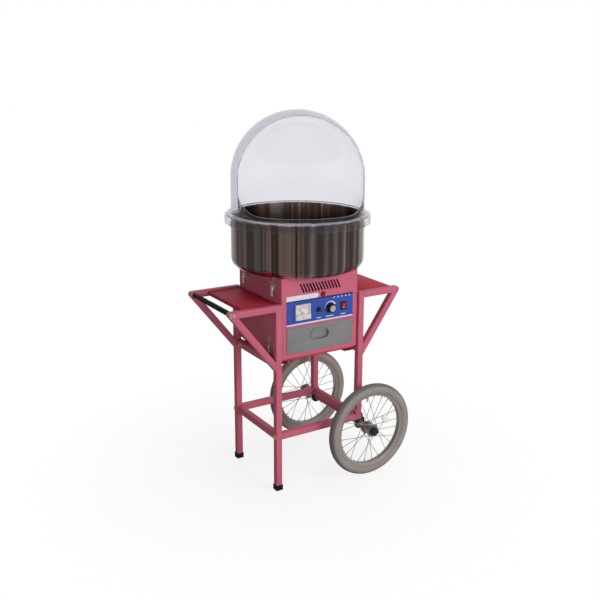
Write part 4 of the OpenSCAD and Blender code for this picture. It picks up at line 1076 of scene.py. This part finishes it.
# Controls
def knob():
    """Fluted heat knob with a bright cap and a pointer."""
    low, high = box("heat_knob")
    radius = (high.x - low.x) / 2
    seat = PANEL_FACE - 0.3
    depth = seat - low.y
    place = facing((KNOB_X, seat, CONTROL_Z), (0, -1, 0))
    grip_r = radius * 0.82
    cap_r = radius * 0.6
    flute = depth - 7.2
    outline = [(0, 0), (radius - 0.6, 0)] + arc(radius - 1.2, 2.8, 1.2, 0, 90, 5) + [(grip_r - 1.2, 4.2)]
    outline += arc(grip_r - 2.6, depth - 2.6, 1.6, 0, 90, 5) + [(cap_r, depth - 1.0), (0, depth - 1.0)]
    piece("heat_knob_core", lathe(outline, 72, place=place), "heat_knob", "black_plastic", ["heat_knob"])
    rib = cuboid((1.9, 1.9, flute), (grip_r - 1.0, 0, 3.6 + flute / 2), 0.55, 2)
    piece("heat_knob_ribs", ring_of(rib, KNOB_RIBS, "black_plastic", place), "heat_knob", "black_plastic")
    cap = [(0, depth - 0.35), (cap_r * 0.55, depth - 0.3), (cap_r * 0.6, depth - 0.05), (cap_r * 0.9, depth)]
    cap += [(cap_r, depth - 0.6), (cap_r, depth - 1.4), (0, depth - 1.4)]
    piece("heat_knob_cap", lathe(cap, 64, place=place), "heat_knob", "bright_steel")
    mark = bmesh.new()
    pointer = bar(KNOB_X - radius + 1.2, CONTROL_Z - 0.8, KNOB_X - grip_r + 0.2, CONTROL_Z + 0.8)
    prism(mark, pointer, seat - 4.0)
    piece("heat_knob_mark", tidy(mark), "heat_knob", "meter_white")


def lamp_and_fuse():
    """Dark ring round the pilot lamp, and the window and ribs of the fuse cap."""
    low, high = box("pilot_lamp")
    lamp = middle("pilot_lamp")
    place = facing((lamp.x, CASING_FACE, lamp.z), (0, -1, 0))
    flange_r = (high.x - low.x) / 2
    lens_r = flange_r * 0.72
    ring = [(lens_r + 0.2, 1.6)] + arc((lens_r + flange_r) / 2, 2.0, 1.0, 200, -20, 10)
    ring += [(flange_r + 2.0, 1.2), (flange_r + 2.4, 0.6), (flange_r + 2.4, -0.02), (lens_r + 0.2, -0.02)]
    bm = lathe(ring, 48, closed=True, place=place)
    piece("pilot_lamp_ring", bm, "cart", "red_plastic", finish="lamp_ring")
    low, high = box("fuse_cap")
    place = facing((FUSE_X, low.y, CONTROL_Z), (0, -1, 0))
    eye = [(0, 0.4), (2.2, 0.25), (3.0, -0.1), (3.0, -2.2), (0, -2.2)]
    piece("fuse_cap_window", lathe(eye, 32, place=place), "fuse_cap", "red_plastic", finish="lamp_ring")
    rib = cuboid((0.9, 0.9, 3.6), ((high.x - low.x) / 2 - 0.1, 0, -3.2), 0.25)
    piece("fuse_cap_ribs", ring_of(rib, FUSE_RIBS, "black_plastic", place), "fuse_cap", "black_plastic")


def rocker_marks():
    """Bar and ring of the two switch positions, laid on the rocker's two slopes."""
    sink, proud = -0.05, 0.12
    source = merged_copy("power_rocker")
    faces = sorted((f for f in source.faces if f.normal.y < -0.8), key=lambda f: -f.calc_area())[:2]
    bm = bmesh.new()
    for face in faces:
        centre = face.calc_center_median()
        place = facing(centre, face.normal)
        if centre.z > CONTROL_Z:
            back, front = (
                [bm.verts.new(place @ Vector((x, y, z))) for x, y in bar(-0.5, -2.6, 0.5, 2.6)]
                for z in (sink, proud)
            )
            slab(bm, back, front)
        else:
            lathe([(1.9, sink), (2.8, sink), (2.8, proud), (1.9, proud)], 32, closed=True, place=place, bm=bm)
    source.free()
    piece("rocker_marks", tidy(bm), "power_rocker", "meter_white")


def spinner_ribs():
    """Upright slots of the heater band, shown by the bars between them."""
    low, high = box("heater_ring")
    rib = cuboid((0.9, 1.5, high.z - low.z - 2.0), (high.x - 0.1, 0, (high.z + low.z) / 2))
    piece("heater_band_bars", ring_of(rib, HEATER_BARS, "head_aluminium"), "spinner", "head_aluminium")


panel_prints()
meter_dial()
fittings()
arm_tip_caps()
axle_caps()
side_catch()
knob()
lamp_and_fuse()
rocker_marks()
spinner_ribs()
for side in ENDS:
    wheel_trim(side)
for node, width in (
    ("leg_feet", 1.6), ("machine_feet", 1.0), ("axle_brackets", 0.7), ("drawer_pull", 0.7),
    ("switch_bezel", 0.9), ("power_rocker", 0.6), ("meter_case", 1.2), ("fuse_holder", 0.6),
    ("machine_rails", 0.8),
):
    softened(node, width)

frame_tubes()
casing_shell()
softened("shelf_plates", SHEET_EDGE)
softened("drawer_front", SHEET_EDGE)
bowl_shell()
dome_shell()
for side in ENDS:
    tyre(side)
grip()


# Studio, in metres
FOCAL_PX = 832.72
CENTRE_PX = (337.17, 292.08)
PICTURE_PX = 600
EYE = Vector((-1.65917, -2.74174, 1.61377))
YAW, PITCH, ROLL = (radians(a) for a in (-33.996, -15.248, 0.899))
AMBIENT = 0.2
FLOOR_LIT, FLOOR_SEEN = (0.5, 0.5, 0.5), (0.93, 0.93, 0.93)
FLOOR_HALF = 30
FLOOR_DROP = 0.0005
ROOM_DARK = 0.18
ROOM_SIDES = (((0.56, 0.83, 0.0), 0.60, 1.0, 1.0), ((0.56, -0.83, 0.0), 0.66, 0.98, 0.38))


def studio_camera():
    """The camera of the photo, from the fit of its marked points."""
    forward = Vector((-sin(YAW) * cos(PITCH), cos(YAW) * cos(PITCH), sin(PITCH)))
    level = Vector((cos(YAW), sin(YAW), 0))
    upright = level.cross(forward)
    right = level * cos(ROLL) + upright * sin(ROLL)
    up = right.cross(forward)
    data = bpy.data.cameras.new("camera")
    data.sensor_width = 36
    data.lens = FOCAL_PX * data.sensor_width / PICTURE_PX
    data.shift_x = (PICTURE_PX / 2 - CENTRE_PX[0]) / PICTURE_PX
    data.shift_y = (CENTRE_PX[1] - PICTURE_PX / 2) / PICTURE_PX
    camera = new_object("camera", data)
    turn = Matrix((right, up, -forward)).transposed().to_4x4()
    camera.matrix_world = Matrix.Translation(EYE) @ turn
    bpy.context.scene.camera = camera


def softbox(name, place, target, size, watts):
    """A wide lamp that lights the part without showing in metal or plastic."""
    data = bpy.data.lights.new(name, "AREA")
    data.shape = "RECTANGLE"
    data.size, data.size_y = size
    data.energy = watts
    lamp = new_object(name, data)
    aim = Vector(target) - Vector(place)
    lamp.matrix_world = Matrix.Translation(place) @ aim.to_track_quat("-Z", "Y").to_matrix().to_4x4()
    lamp.visible_glossy = False
    lamp.visible_transmission = False


def room_tone(tree, way):
    """What metal mirrors: white behind the part, a soft window to the front right, dark elsewhere."""
    tones = []
    for side, low, high, tone in ROOM_SIDES:
        turned = vector_math(tree, "DOT_PRODUCT", way, side)
        tones.append(mask_range(tree, turned, low, high, ROOM_DARK, tone))
    return number_math(tree, "MAXIMUM", *tones)


def white_room():
    """White to the camera and in clear plastic; what metal mirrors has a dark side."""
    world = bpy.data.worlds.new("studio")
    bpy.context.scene.world = world
    world.use_nodes = True
    tree = world.node_tree
    tree.nodes.clear()
    path = add(tree, "ShaderNodeLightPath").outputs
    way = add(tree, "ShaderNodeTexCoord").outputs["Generated"]
    white = add(tree, "ShaderNodeBackground", {"Color": WHITE})
    ambient = add(tree, "ShaderNodeBackground", {"Color": WHITE, "Strength": AMBIENT})
    room = add(tree, "ShaderNodeBackground", {"Color": room_tone(tree, way)})
    seen = number_math(tree, "MAXIMUM", path["Is Camera Ray"], path["Is Transmission Ray"])
    lit = mix_shader(tree, path["Is Glossy Ray"], ambient, room)
    shown = mix_shader(tree, seen, lit, white)
    add(tree, "ShaderNodeOutputWorld", {"Surface": shown.outputs[0]})


def pale_floor():
    """Pale floor that takes the part's shadow, and runs out into plain white further off."""
    material, tree, shader = new_material("pale_floor")
    path = add(tree, "ShaderNodeLightPath").outputs
    place = object_place(tree)
    feed(shader, {
        "Base Color": two_tone(tree, path["Is Camera Ray"], shade(FLOOR_LIT), shade(FLOOR_SEEN)),
        "Roughness": 0.95,
        "Specular IOR Level": 0.0,
    })
    seen = path["Is Camera Ray"]
    for ray in ("Is Transmission Ray", "Is Glossy Ray"):
        seen = number_math(tree, "MAXIMUM", seen, path[ray])
    far = mask_range(tree, vector_math(tree, "LENGTH", place), 0.3, 1.1, 0.82, 1.0)
    room = room_tone(tree, vector_math(tree, "NORMALIZE", place))
    tones = {"Factor": mirrored_ray(tree, path), "A": 1.0, "B": room}
    glow = add(tree, "ShaderNodeMix", tones, data_type="FLOAT")
    white = add(tree, "ShaderNodeEmission", {"Color": WHITE, "Strength": glow.outputs["Result"]})
    shown = mix_shader(tree, number_math(tree, "MULTIPLY", seen, far), shader, white)
    feed(tree.nodes["Material Output"], {"Surface": shown.outputs[0]})
    bm = bmesh.new()
    bmesh.ops.create_grid(bm, x_segments=1, y_segments=1, size=FLOOR_HALF)
    floor = loose_object("floor", bm)
    floor.data.materials.append(material)
    floor.location.z = -FLOOR_DROP


studio_camera()
white_room()
pale_floor()
softbox("front_box", (1.5, -3.9, 1.9), (0, 0, 0.7), (3.0, 2.4), 132)
softbox("fill_box", (-2.4, -3.0, 1.4), (0, 0, 0.7), (1.6, 1.6), 32)
softbox("top_box", (0.4, -0.4, 4.4), (0, 0, 0.6), (2.5, 2.5), 36)
softbox("back_box", (1.2, 3.8, 2.2), (0, 0, 0.8), (2.4, 2.0), 60)

view = bpy.context.scene.view_settings
view.view_transform = "Standard"
